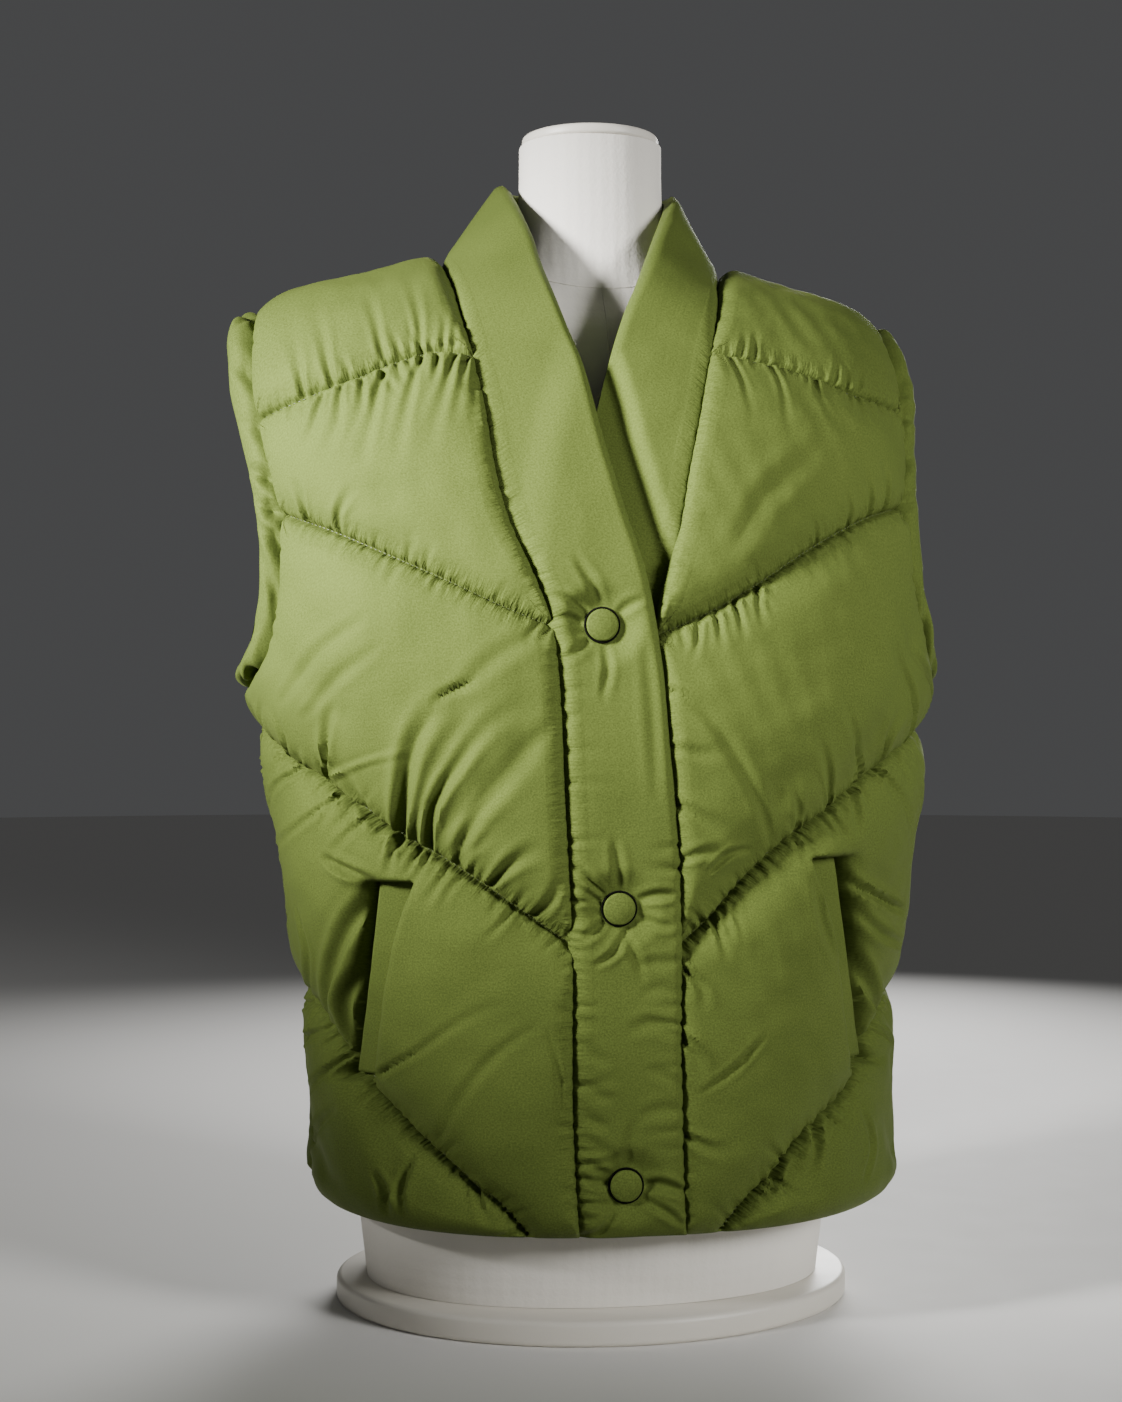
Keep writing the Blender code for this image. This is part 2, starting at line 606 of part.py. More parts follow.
def front_grid(side):
    """Points of a front's inner skin, its stitch lines and its band seam rows."""
    table = RIGHT_LINES if side < 0 else LEFT_LINES
    seam = band_seam(side)
    between = [table[name][0][1] for name in LINE_ORDER[1:-1]]
    near_heights = [HEM_HEIGHT] + between + [seam[-1, 2]]
    near = edge_rows(seam, near_heights)
    far = outer_edge(side, "front", far_heights(table))
    lines, stitches = [], []
    done = 0
    for k, name in enumerate(LINE_ORDER):
        if name == "shoulder":
            curve = shoulder_seam(side)
        else:
            hem = [(side * x, z) for x, z in HEM_LINE]
            inner = table[name][1:-1] if name in table else hem
            middle = [on_front(x, z) for x, z in inner]
            curve = smooth_path(np.vstack([near[done], *middle, far[done]]))
            curve[0], curve[-1] = near[done], far[done]
        if name in ("yoke", "shoulder"):
            knots = [FIRST_COLUMN] + list(lengths(curve)[-1] * np.array(SHOULDER_KNOTS))
        else:
            near_part = curve[:len(curve) * 3 // 4]
            knots = [FIRST_COLUMN]
            for edge in welt_x(side, near_part[:, 2]):
                beyond = side * (near_part[:, 0] - edge)
                knots.append(np.interp(0.0, beyond, lengths(near_part)))
        line = columns_along(curve, knots, FRONT_COLUMNS)
        line[0], line[-1] = near[done], far[done]
        lines.append(line)
        if name in STITCHED:
            stitch = curve
            if name == "chevron_3":
                keep = side * curve[:, 0] > CHEVRON_3_ENDS[0] + TAIL_START
                tail = on_front(side * CHEVRON_3_ENDS[0], CHEVRON_3_ENDS[1])
                stitch = smooth_path(np.vstack([tail, curve[keep][::6], curve[-1]]))
            stitches.append((name, stitch))
        if k < len(ROWS):
            done += ROWS[k]
    return fill_grid(lines, near, far), stitches, seam


def back_grid():
    """Points of the back's inner skin and its stitch lines; columns run from -X to +X."""
    near = outer_edge(-1, "back", far_heights(RIGHT_LINES))
    far = outer_edge(1, "back", far_heights(LEFT_LINES))
    lines, stitches = [], []
    done = 0
    total = 2 * SHOULDER_COLUMNS + NECK_COLUMNS
    for k, name in enumerate(LINE_ORDER):
        if name == "shoulder":
            right, left = shoulder_seam(-1)[::-1], shoulder_seam(1)
            right = at_lengths(right, np.linspace(0, lengths(right)[-1], SHOULDER_COLUMNS + 1))
            left = at_lengths(left, np.linspace(0, lengths(left)[-1], SHOULDER_COLUMNS + 1))
            neck_right, neck_left = neck_seam(-1)[::-1], neck_seam(1)
            line = np.vstack([right[:-1], neck_right[:-1], neck_left, left[1:]])
            curve = line
        else:
            rows = BACK_LINES.get(name, ((0.0, HEM_HEIGHT), *HEM_LINE))
            middle = [on_back(SHOULDER_SHIFT * (z - HEM_HEIGHT) - r, z) for r, z in rows[:0:-1]]
            middle += [on_back(SHOULDER_SHIFT * (z - HEM_HEIGHT) + r, z) for r, z in rows]
            curve = smooth_path(np.vstack([near[done], *middle, far[done]]), 240)
            curve[0], curve[-1] = near[done], far[done]
            line = at_lengths(curve, np.linspace(0, lengths(curve)[-1], total + 1))
        line[0], line[-1] = near[done], far[done]
        lines.append(line)
        if name in STITCHED:
            stitches.append((name, curve))
        if k < len(ROWS):
            done += ROWS[k]
    return fill_grid(lines, near, far), stitches


# ---------------------------------------------------------------- padding
def distance_to(points, curve):
    """Distance of each point from a curve given by closely spaced points."""
    flat = points.reshape(-1, 3)
    best = np.full(len(flat), np.inf)
    for start, end in zip(curve, curve[1:]):
        run = end - start
        size = max(run @ run, 1e-12)
        t = np.clip((flat - start) @ run / size, 0, 1)
        best = np.minimum(best, np.linalg.norm(flat - start - t[:, None] * run, axis=1))
    return best.reshape(points.shape[:-1])


def join_rises(rises):
    """The lowest of several rises, rounded where two of them cross."""
    short = sum((1 - rise) ** 4 for rise in rises)
    return 1 - np.minimum(short, 1) ** 0.25


def fold_depth(points, name):
    """Depth of the panel's large folds at each point."""
    depth = np.zeros(points.shape[:-1])
    place = on_back if name == "back" else on_front
    for x1, z1, x2, z2, half_width, deep in FOLDS[name]:
        path = on_body(np.linspace(place(x1, z1), place(x2, z2), 9))
        away = distance_to(points, path)
        depth = np.maximum(depth, deep * np.exp(-(away / half_width) ** 2))
    return depth


def puff(points, name, lines, hem):
    """Thickness of a quilted panel at each point of its inner skin; lines are by kind."""
    rises, crowns = [], []
    for kind, line in lines:
        away = distance_to(points, line)
        share = LINE_REACH.get(kind, 1.0)
        rise = arc_rise((away - STITCH_FLAT) / (PUFF_REACH * share))
        crown = arc_rise(away / (CROWN_REACH * share))
        rises.append(1 - LINE_PULL[kind] * (1 - rise))
        crowns.append(1 - LINE_PULL[kind] * (1 - crown))
    rises.append(arc_rise((distance_to(points, hem) + HEM_LEAD) / HEM_REACH))
    rise = join_rises(rises)
    crown = join_rises(crowns)
    full = PUFF_RISE * rise + CROWN_RISE * crown * rise
    return SEAM_THICK + np.maximum(full - fold_depth(points, name) * rise, 0)


def pull_in(grid):
    """Moves a panel's sewn rims, all but the hem, in by half a seam gap."""
    grid = grid.copy()
    grid[-1] += unit(grid[-2] - grid[-1]) * SEAM_GAP / 2
    grid[:, 0] += unit(grid[:, 1] - grid[:, 0]) * SEAM_GAP / 2
    grid[:, -1] += unit(grid[:, -2] - grid[:, -1]) * SEAM_GAP / 2
    return grid


# ---------------------------------------------------------------- mesh and object helpers
def clear_scene():
    for thing in list(bpy.data.objects):
        bpy.data.objects.remove(thing, do_unlink=True)


def make_collection(name):
    collection = bpy.data.collections.new(name)
    bpy.context.scene.collection.children.link(collection)
    return collection


def make_material(name):
    colour, roughness, metallic = MATERIALS[name]
    material = bpy.data.materials.new(name)
    material.use_nodes = True
    shader = material.node_tree.nodes["Principled BSDF"]
    shader.inputs["Base Color"].default_value = (*colour, 1.0)
    shader.inputs["Roughness"].default_value = roughness
    shader.inputs["Metallic"].default_value = metallic
    material.diffuse_color = (*colour, 1.0)
    return material


def finish_object(name, mesh, material, collection, sharp=60):
    thing = bpy.data.objects.new(name, mesh)
    collection.objects.link(thing)
    mesh.materials.append(material)
    mesh.shade_smooth()
    mesh.set_sharp_from_angle(angle=radians(sharp))
    return thing


def cloth_wall(name, inner, outer, material, collection, closed=False):
    """A padded wall between two skins: a grid for the inner one, extruded to the outer."""
    rows, columns = inner.shape[:2]
    mesh = bpy.data.meshes.new(name)
    bm = bmesh.new()
    bmesh.ops.create_grid(bm, x_segments=columns - 1, y_segments=rows - 1, size=1)
    row_of = bm.verts.layers.int.new("row")
    column_of = bm.verts.layers.int.new("column")
    for vert in bm.verts:
        vert[column_of] = round((vert.co.x + 1) / 2 * (columns - 1))
        vert[row_of] = round((vert.co.y + 1) / 2 * (rows - 1))
        vert.co = inner[vert[row_of], vert[column_of]]
    if closed:
        bmesh.ops.remove_doubles(bm, verts=bm.verts, dist=1e-6)
    grown = bmesh.ops.extrude_face_region(bm, geom=bm.faces[:])["geom"]
    for vert in grown:
        if isinstance(vert, bmesh.types.BMVert):
            vert.co = outer[vert[row_of], vert[column_of]]
    bmesh.ops.triangulate(bm, faces=bm.faces, quad_method="SHORT_EDGE")
    bmesh.ops.recalc_face_normals(bm, faces=bm.faces)
    bm.to_mesh(mesh)
    bm.free()
    return finish_object(name, mesh, material, collection)


# ---------------------------------------------------------------- the quilted panels
def over_edge_x(z):
    """x of the over band's free edge at height z."""
    order = np.argsort(OVER_EDGE.column("z"))
    return np.interp(z, OVER_EDGE.column("z")[order], OVER_EDGE.column("x")[order])


def under_edge_x(z):
    order = np.argsort(UNDER_EDGE.column("z"))
    return np.interp(z, UNDER_EDGE.column("z")[order], UNDER_EDGE.column("x")[order])


def welt_bed(points, side):
    """Distance from the pressed bed under a pocket welt."""
    inner, outer = welt_x(side, points[..., 2])
    top, foot = WELTS[side]["top"][2] + WELT_BED_OVER, WELTS[side]["foot"][2]
    across = np.maximum(side * (inner - points[..., 0]), side * (points[..., 0] - outer))
    along = np.maximum(points[..., 2] - top, foot - points[..., 2])
    across = np.maximum(across - WELT_BED_MARGIN, 0)
    return np.hypot(across, np.maximum(along, 0))


def build_front(side, material, collection):
    name = "front_right" if side < 0 else "front_left"
    grid, stitches, seam = front_grid(side)
    base = pull_in(grid)
    lines = stitches + [("band", seam), ("side", grid[:UNDERARM_ROW + 1, -1]),
                        ("armhole", grid[UNDERARM_ROW:, -1]), ("shoulder", grid[-1])]
    thick = puff(grid, name, lines, grid[0])
    extra = [arc_rise(welt_bed(grid, side) / WELT_REACH)]
    if side > 0:
        beyond = grid[..., 0] - over_edge_x(grid[..., 2]) - FREE_CLEAR[0]
        extra.append(arc_rise(np.maximum(beyond, 0) / PUFF_REACH))
    room = join_rises(extra)
    full = PUFF_RISE + CROWN_RISE
    thick = SEAM_THICK + np.minimum(thick - SEAM_THICK, full * room)
    outer = base + body_normals(grid) * thick[..., None]
    cloth_wall(name, base, outer, material, collection)
    return grid


def build_back(material, collection):
    grid, stitches = back_grid()
    base = pull_in(grid)
    neck = grid[-1, SHOULDER_COLUMNS:-SHOULDER_COLUMNS]
    lines = stitches + [("band", neck), ("shoulder", grid[-1, :SHOULDER_COLUMNS + 1]),
                        ("shoulder", grid[-1, -SHOULDER_COLUMNS - 1:])]
    for column in (0, -1):
        lines += [("side", grid[:UNDERARM_ROW + 1, column]),
                  ("armhole", grid[UNDERARM_ROW:, column])]
    thick = puff(grid, "back", lines, grid[0])
    outer = base + body_normals(grid) * thick[..., None]
    cloth_wall("back", base, outer, material, collection)
    return grid


# ---------------------------------------------------------------- the shawl band
def band_sections(side, front):
    """Seam and free-edge points of a band, from the centre back round and down to the hem."""
    table = OVER_EDGE if side < 0 else UNDER_EDGE
    seam_front = front[::-1, 0]
    heights = seam_front[:, 2]
    edge_front = np.stack([table.at(k, heights) for k in "xyz"], axis=1)
    edge_front[:, 2] = np.maximum(edge_front[:, 2], HEM_HEIGHT)
    lies = np.clip(table.at("lies", heights), 0, 1)[:, None]
    settled = edge_front.copy()
    down = lies[:, 0] > 0
    settled[down] = on_front(edge_front[down, 0], edge_front[down, 2])
    edge_front = edge_front * (1 - lies) + settled * lies
    seam_back = neck_seam(side)
    angle = np.linspace(0, pi / 2, len(seam_back))
    top = COLLAR_SIDE_TOP[0 if side < 0 else 1]
    edge_back = np.stack([COLLAR_X + side * COLLAR_HALF * np.sin(angle),
                          RIDGE_Y + COLLAR_BACK * np.cos(angle),
                          top + (COLLAR_BACK_TOP - top) * np.cos(angle) ** 2], axis=1)
    edge_back[-1] = edge_front[0]
    seam = np.vstack([seam_back[:-1], seam_front])
    edge = np.vstack([edge_back[:-1], edge_front])
    lies = np.concatenate([np.zeros(len(seam_back) - 1), lies[:, 0]])
    return seam, edge, lies


def band_base(seam, edge):
    """Inner skin of a band: straight from seam to edge, and never inside the body."""
    across = np.linspace(0, 1, BAND_COLUMNS + 1)[None, :, None]
    straight = seam[:, None] * (1 - across) + edge[:, None] * across
    base = straight.copy()
    sunk = body_depth(straight) < 0
    base[sunk] = on_front(straight[sunk][:, 0], straight[sunk][:, 2])
    high = sunk & (straight[..., 2] > HIGH_SECTION)
    base[high] = on_body(straight[high])
    base[:, 0] = seam
    return base


def band_normals(base, lies):
    """Outward directions of a band: the body's own at the seam, the band's further in."""
    along = np.gradient(base, axis=0)
    across = np.gradient(base, axis=1)
    along[0] = (1, 0, 0)
    own = unit(np.cross(along, across))
    away = base - np.array([COLLAR_X, 0.0, CORE_HEIGHT])
    own *= np.sign(np.sum(own * away, axis=-1, keepdims=True))
    body = body_normals(base)
    at_seam = np.repeat(body[:, :1], base.shape[1], axis=1)
    share = smooth_step(np.linspace(0, 1, base.shape[1]) / BAND_TURN)[None, :, None]
    free = at_seam * (1 - share) + own * share
    return unit(free * (1 - lies[:, None, None]) + body * lies[:, None, None])


def band_thickness(base, seam, edge):
    from_seam = np.linalg.norm(base - seam[:, None], axis=-1)
    from_edge = np.linalg.norm(base - edge[:, None], axis=-1)
    from_hem = np.maximum(base[..., 2] - HEM_HEIGHT, 0) + HEM_LEAD
    rise = join_rises([arc_rise(from_seam / BAND_SEAM_REACH),
                       arc_rise((from_edge + 0.001) / BAND_EDGE_REACH),
                       arc_rise(from_hem / HEM_REACH)])
    slim = COLLAR_SLIM * smooth_step((base[..., 2] - COLLAR_SLIM_FROM) / COLLAR_SLIM_OVER)
    return BAND_EDGE_THICK + BAND_RISE * rise * (1 - slim)


def trim_band(base):
    """Moves a band's seam edge and its end at the centre back in by half a seam gap."""
    base = base.copy()
    base[:, 0] += unit(base[:, 1] - base[:, 0]) * SEAM_GAP / 2
    base[0] += unit(base[1] - base[0]) * SEAM_GAP / 2
    return base


def in_placket_or_chest(sizes, z):
    """A size that goes over from its placket value to its chest value."""
    return sizes[0] + (sizes[1] - sizes[0]) * smooth_step((z - CHEST_FROM) / CHEST_OVER)


def build_under_band(front, material, collection):
    seam, edge, lies = band_sections(1, front)
    base = band_base(seam, edge)
    normals = band_normals(base, lies)
    full = band_thickness(base, seam, edge)
    clear = in_placket_or_chest(FREE_CLEAR, base[..., 2])
    beyond = base[..., 0] - over_edge_x(base[..., 2]) - clear
    covered = base[..., 2] < COVERED_UP_TO
    open_share = np.where(covered, smooth_step(beyond / OPEN_RAMP), 1.0)
    thick = COVERED_THICK + (full - COVERED_THICK) * open_share
    thick = np.where(open_share < 1, np.minimum(thick, full + COVERED_THICK), thick)
    thick[:, 0] = np.minimum(thick[:, 0], SEAM_THICK)
    base = trim_band(base)
    outer = base + normals * thick[..., None]
    cloth_wall("collar_band_left", base, outer, material, collection)


def build_over_band(front, material, collection):
    seam, edge, lies = band_sections(-1, front)
    base = band_base(seam, edge)
    normals = band_normals(base, lies)
    thick = band_thickness(base, seam, edge)
    for x, z in CAPS:
        away = np.hypot(base[..., 0] - x, base[..., 2] - z)
        pull = 1 - smooth_step((away - DIMPLE_FLOOR) / (DIMPLE_REACH - DIMPLE_FLOOR))
        thick = thick - DIMPLE_DEPTH * pull * (base[..., 1] < 0)
    lead = in_placket_or_chest(LIFT_LEAD, base[..., 2])
    inside = base[..., 0] - under_edge_x(base[..., 2]) + lead
    over = smooth_step(1 + inside / LIFT_RAMP)
    over *= smooth_step((LIFT_TOP - base[..., 2]) / LIFT_FADE) * (base[..., 1] < LIFT_Y)
    lift = LIFT * over
    lift[:, 0] = 0
    thick[:, 0] = SEAM_THICK
    base = trim_band(base) + normals * lift[..., None]
    outer = base + normals * thick[..., None]
    return cloth_wall("collar_band_right", base, outer, material, collection)


# ---------------------------------------------------------------- armhole bands
def build_cuff(side, front, back, material, collection):
    """A padded ring that stands out from the armhole seam and leans in over the opening."""
    front_edge = front[UNDERARM_ROW:, -1]
    back_edge = back[UNDERARM_ROW:, 0 if side < 0 else -1]
    loop = np.vstack([front_edge, back_edge[-2::-1]])
    body = body_normals(loop)
    inward = loop[:-1].mean(axis=0) - loop
    inward[:, 0] = 0
    inward = unit(inward)
    out = unit(np.array([side, 0.0, 0.0]) + CUFF_LEAN * inward)
    away = unit(np.sum(inward * out, axis=1, keepdims=True) * out - inward)
    tangent = np.roll(loop[:-1], -1, axis=0) - np.roll(loop[:-1], 1, axis=0)
    tangent = np.vstack([tangent, tangent[:1]])
    toward = unit(np.cross(tangent, body))
    toward *= np.sign(np.sum(toward * inward, axis=1, keepdims=True))
    q = np.linspace(0, 1, CUFF_COLUMNS + 1)[None, :, None]
    loop, body, out, away, toward = (a[:, None] for a in (loop, body, out, away, toward))
    above = np.maximum(away[..., 2:], 0) ** 2
    below = np.maximum(-away[..., 2:], 0) ** 2
    spine = loop + toward * SEAM_GAP / 2 + out * (CUFF_WIDTH + CUFF_TOP_WIDER * above) * q
    fat = np.sin(pi * np.clip(q, 0, 1) ** CUFF_SKEW) ** CUFF_FULLNESS
    inner = spine - away * (CUFF_IN * fat + CUFF_TIP * q)
    rise = smooth_step(q * 3)
    padding = CUFF_OUT * (1 + CUFF_OVER * above - CUFF_UNDER * below)
    outer = (spine + body * SEAM_THICK * (1 - rise)
             + away * (padding * fat * rise + CUFF_TIP * q))
    name = "arm_band_right" if side < 0 else "arm_band_left"
    cloth_wall(name, inner, outer, material, collection, closed=True)


# ---------------------------------------------------------------- pocket welts
def build_welt(side, material, collection):
    name = "pocket_welt_right" if side < 0 else "pocket_welt_left"
    top, foot = WELTS[side]["top"], WELTS[side]["foot"]
    rows = []
    for t in np.linspace(*WELT_RUN, 12):
        z = foot[2] + (top[2] - foot[2]) * t
        inner, outer = (abs(x) for x in welt_x(side, z))
        x = side * np.linspace(inner + WELT_INSET, outer - WELT_INSET, 4)
        rows.append(on_front(x, np.full(4, z)))
    base = np.array(rows)
    normals = body_normals(base)
    low = base + normals * (SEAM_THICK + WELT_CLEAR)
    cloth_wall(name, low, low + normals * WELT_THICK, material, collection)


# ---------------------------------------------------------------- snap caps
def cap_profile():
    """Half section of a covered cap: flat underside, rolled rim, low dome."""
    flat = CAP_RADIUS - CAP_RIM
    points = [(0.0, 0.0), (flat, 0.0)]
    for k in range(1, 5):
        angle = -pi / 2 + k * pi / 4
        points.append((flat + CAP_RIM * cos(angle), CAP_RIM * (1 + sin(angle))))
    for k in range(1, 5):
        t = k / 4
        points.append((flat * (1 - t),
                       2 * CAP_RIM + (CAP_HEIGHT - 2 * CAP_RIM) * (1 - (1 - t) ** 2)))
    return points


def build_cap(number, x, z, band, material, collection):
    """A covered snap cap that sits on the band, square to the body there."""
    base = on_front(x, z)
    normal = Vector(body_normals(base[None])[0])
    tree = BVHTree.FromObject(band, bpy.context.evaluated_depsgraph_get())
    turn = Vector((0, 0, 1)).rotation_difference(normal).to_matrix()
    seat = 0.0
    for ring in (0.0, 0.5, 1.0):
        for k in range(16):
            spot = turn @ Vector((cos(k * pi / 8), sin(k * pi / 8), 0)) * CAP_RADIUS * ring
            start = Vector(base) + spot + normal * 0.06
            hit = tree.ray_cast(start, -normal)[0]
            seat = max(seat, (hit - Vector(base)).dot(normal))
    mesh = bpy.data.meshes.new(f"snap_cap_{number}")
    bm = bmesh.new()
    verts = [bm.verts.new((r, 0, h)) for r, h in cap_profile()]
    rim = [bm.edges.new(pair) for pair in zip(verts, verts[1:])]
    bmesh.ops.spin(bm, geom=verts + rim, axis=(0, 0, 1), cent=(0, 0, 0), steps=16,
                   angle=2 * pi, use_merge=True)
    bmesh.ops.remove_doubles(bm, verts=bm.verts, dist=1e-6)
    bmesh.ops.recalc_face_normals(bm, faces=bm.faces)
    bm.to_mesh(mesh)
    bm.free()
    cap = finish_object(f"snap_cap_{number}", mesh, material, collection, sharp=50)
    place = Vector(base) + normal * (seat + CAP_CLEAR)
    cap.matrix_world = Matrix.Translation(place) @ turn.to_4x4()


# ---------------------------------------------------------------- the dress form
def build_form_torso(material, collection):
    levels = np.linspace(0, FORM.rows[-1, 0], FORM_RINGS)
    angle = np.linspace(0, 2 * pi, FORM_SIDES + 1)[:-1]
    rings = []
    for level in levels:
        half = FORM.at("half", level)
        reach_x = np.sign(np.sin(angle)) * np.abs(np.sin(angle)) ** (2 / FORM_ROUNDNESS)
        reach_y = -np.sign(np.cos(angle)) * np.abs(np.cos(angle)) ** (2 / FORM_ROUNDNESS)
        deep = np.where(reach_y < 0, FORM.at("front", level), FORM.at("back", level))
        end_z = np.where(reach_y < 0, FORM.at("front_z", level), FORM.at("back_z", level))
        share = reach_y ** 2
        z = FORM.at("side_z", level) * (1 - share) + end_z * share
        lean = FORM_NECK_Y * smooth_step((level - 9) / 8)
        points = np.stack([half * reach_x, lean + deep * reach_y, z], axis=1)
        if half > CLIPPED_OVER:
            proud = body_depth(points) > -FORM_CLEAR
            points[proud] = on_body(points[proud], -FORM_CLEAR)
        rings.append(points)
    mesh = bpy.data.meshes.new("form_torso")
    bm = bmesh.new()
    loops = []
    for ring in rings:
        verts = [bm.verts.new(point) for point in ring]
        loops.append([bm.edges.new((a, b)) for a, b in zip(verts, verts[1:] + verts[:1])])
    for low, high in zip(loops, loops[1:]):
        bmesh.ops.bridge_loops(bm, edges=low + high)
    for end in (loops[0], loops[-1]):
        bmesh.ops.contextual_create(bm, geom=end)
    bmesh.ops.triangulate(bm, faces=bm.faces, quad_method="SHORT_EDGE")
    bmesh.ops.recalc_face_normals(bm, faces=bm.faces)
    bm.to_mesh(mesh)
    bm.free()
    finish_object("form_torso", mesh, material, collection, sharp=50)


def board(name, half, low, high, bevel, material, collection, sides=40, y=0.0):
    """A flat oval board or disc with eased edges."""
    mesh = bpy.data.meshes.new(name)
    bm = bmesh.new()
    bmesh.ops.create_cone(bm, cap_ends=True, segments=sides, radius1=1, radius2=1, depth=1)
    bmesh.ops.scale(bm, vec=(half[0], half[1], high - low), verts=bm.verts)
    bmesh.ops.translate(bm, vec=(0, y, (low + high) / 2), verts=bm.verts)
    rim = [edge for edge in bm.edges if abs(edge.verts[0].co.z - edge.verts[1].co.z) < 1e-6]
    bmesh.ops.bevel(bm, geom=rim, offset=bevel, segments=2, profile=0.5, affect="EDGES")
    bmesh.ops.recalc_face_normals(bm, faces=bm.faces)
    bm.to_mesh(mesh)
    bm.free()
    finish_object(name, mesh, material, collection, sharp=40)


def main():
    clear_scene()
    collection = make_collection(COLLECTION)
    paint = {name: make_material(name) for name in MATERIALS}
    right = build_front(-1, paint["green_shell"], collection)
    left = build_front(1, paint["green_shell"], collection)
    back = build_back(paint["green_shell"], collection)
    build_under_band(left, paint["green_band"], collection)
    over = build_over_band(right, paint["green_band"], collection)
    for side, front in ((-1, right), (1, left)):
        build_cuff(side, front, back, paint["green_trim"], collection)
        build_welt(side, paint["green_trim"], collection)
    bpy.context.view_layer.update()
    for number, (x, z) in enumerate(CAPS, start=1):
        build_cap(number, x, z, over, paint["green_cap"], collection)
    build_form_torso(paint["canvas"], collection)
    board("form_neck_cap", (NECK_CAP_HALF, NECK_CAP_HALF), NECK_TOP + SEAM_GAP,
          NECK_TOP + NECK_CAP_THICK, NECK_CAP_BEVEL, paint["painted_wood"], collection, 28,
          FORM_NECK_Y)
    board("form_base", BOARD_HALF, 0.0, BOARD_THICK, BOARD_BEVEL, paint["painted_wood"],
          collection)
    for thing in collection.objects:
        thing.location += PLACE


main()
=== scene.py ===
"""Quilted puffer vest on a dress form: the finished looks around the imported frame.

Laid out as a Blender add-on and run as a script. Metres, +Z up; the front looks along -Y and
the wearer's right side is at -X. The cloth pieces stand on the same body shape, seams and
quilting lines as the frame's solids, with finer puffs, creases and stitching.
"""

from math import cos, pi, radians, sin

import bmesh
import bpy
import numpy as np
from bpy.props import FloatProperty, FloatVectorProperty, PointerProperty
from mathutils import Matrix, Vector
from mathutils.bvhtree import BVHTree


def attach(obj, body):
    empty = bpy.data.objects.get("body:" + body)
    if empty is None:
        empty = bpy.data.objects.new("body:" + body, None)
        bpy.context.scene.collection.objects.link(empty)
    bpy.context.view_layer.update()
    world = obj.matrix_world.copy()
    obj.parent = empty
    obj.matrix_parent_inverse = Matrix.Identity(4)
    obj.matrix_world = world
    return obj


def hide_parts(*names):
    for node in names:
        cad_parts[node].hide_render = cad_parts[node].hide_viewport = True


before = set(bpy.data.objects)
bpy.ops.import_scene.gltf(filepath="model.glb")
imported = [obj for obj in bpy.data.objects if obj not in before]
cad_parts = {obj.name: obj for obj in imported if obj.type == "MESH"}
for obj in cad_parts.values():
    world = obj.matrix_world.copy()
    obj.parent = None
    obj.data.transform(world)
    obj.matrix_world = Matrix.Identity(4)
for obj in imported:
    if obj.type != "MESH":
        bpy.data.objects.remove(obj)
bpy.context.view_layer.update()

bl_info = {
    "name": "Puffer vest on a dress form",
    "version": (1, 0, 0),
    "blender": (4, 5, 0),
    "location": "3D View > Sidebar > Vest",
    "description": "Builds the quilted cloth, stitching, dress form and stage of a puffer vest",
    "category": "Object",
}


# ---- driving dimensions (m)
SEAM_GAP = 0.0003  # between two pieces that are sewn together
HEM_HEIGHT = 0.075  # hem above the floor, at the middle
HEM_SIDE_HEIGHT = 0.081  # and at the side seams
RIDGE_Y = 0.012  # the shoulder seams lie just behind the middle
ROUNDNESS = 2.4  # 2 is an ellipse, more is squarer
SHOULDER_FALL = 4.7  # how fast the shoulders drop to front and back (1/m)
SHOULDER_ROUND = 0.05  # blend from the shoulder tops into the chest and back
SHOULDER_SHIFT = -0.0175  # the shoulders hang a little to the wearer's right
PLACE = Vector((0.0033, 0.0059, 0.0))  # brings the middle of the whole over the origin
CORE_HEIGHT = 0.55  # the body shape is seen from the axis up to here

SEAM_THICK = 0.0045  # padding squeezed in a seam or stitch line
STITCH_FLAT = 0.0006  # half width of the flat line that the stitches pull in
PUFF_RISE = 0.0135  # rise of a quilted puff near its stitches
PUFF_REACH = 0.042  # distance from the stitches over which it rises
CROWN_RISE = 0.0070  # slower rise on to the middle of a wide puff
CROWN_REACH = 0.080
HEM_REACH = 0.022  # the hem is rounded over this distance
HEM_LEAD = 0.002  # and has come this far along that rise at its very edge

BAND_RISE = 0.0125  # padding of the front band above its seam thickness
BAND_SEAM_REACH = 0.026
BAND_EDGE_REACH = 0.014
BAND_EDGE_THICK = 0.004
BAND_TURN = 0.30  # share of the width over which the band turns off the body
COLLAR_SLIM = 0.45  # the padding is thinner by this share in the standing collar
COLLAR_SLIM_FROM = 0.700
COLLAR_SLIM_OVER = 0.050
COVERED_THICK = 0.0050  # the under band where the over band presses on it
COVERED_UP_TO = 0.655  # height at which the over band has left the under band
COVERED_FADE = 0.012
OPEN_RAMP = 0.016  # the under band fills out over this distance beyond the edge
LIFT = COVERED_THICK + 0.0026
LIFT_LEAD = (0.006, 0.016)  # and full this far before the under band: placket, chest
CHEST_FROM = 0.470
CHEST_OVER = 0.040
LIFT_TOP = 0.690  # the over band has come down again at this height
LIFT_FADE = 0.030
LIFT_Y = -0.05  # only the front part is lifted
LIFT_OFF_SEAM = 0.008  # and it starts this close to the seam
LIFT_THINS = 0.45  # the over band is thinner by this share of its lift
LIFT_SOFT = (0.008, 0.028)  # the step over the under band is spread: placket, chest
FREE_CLEAR = (0.004, 0.014)  # puffs start this far beyond the free edge: placket, chest

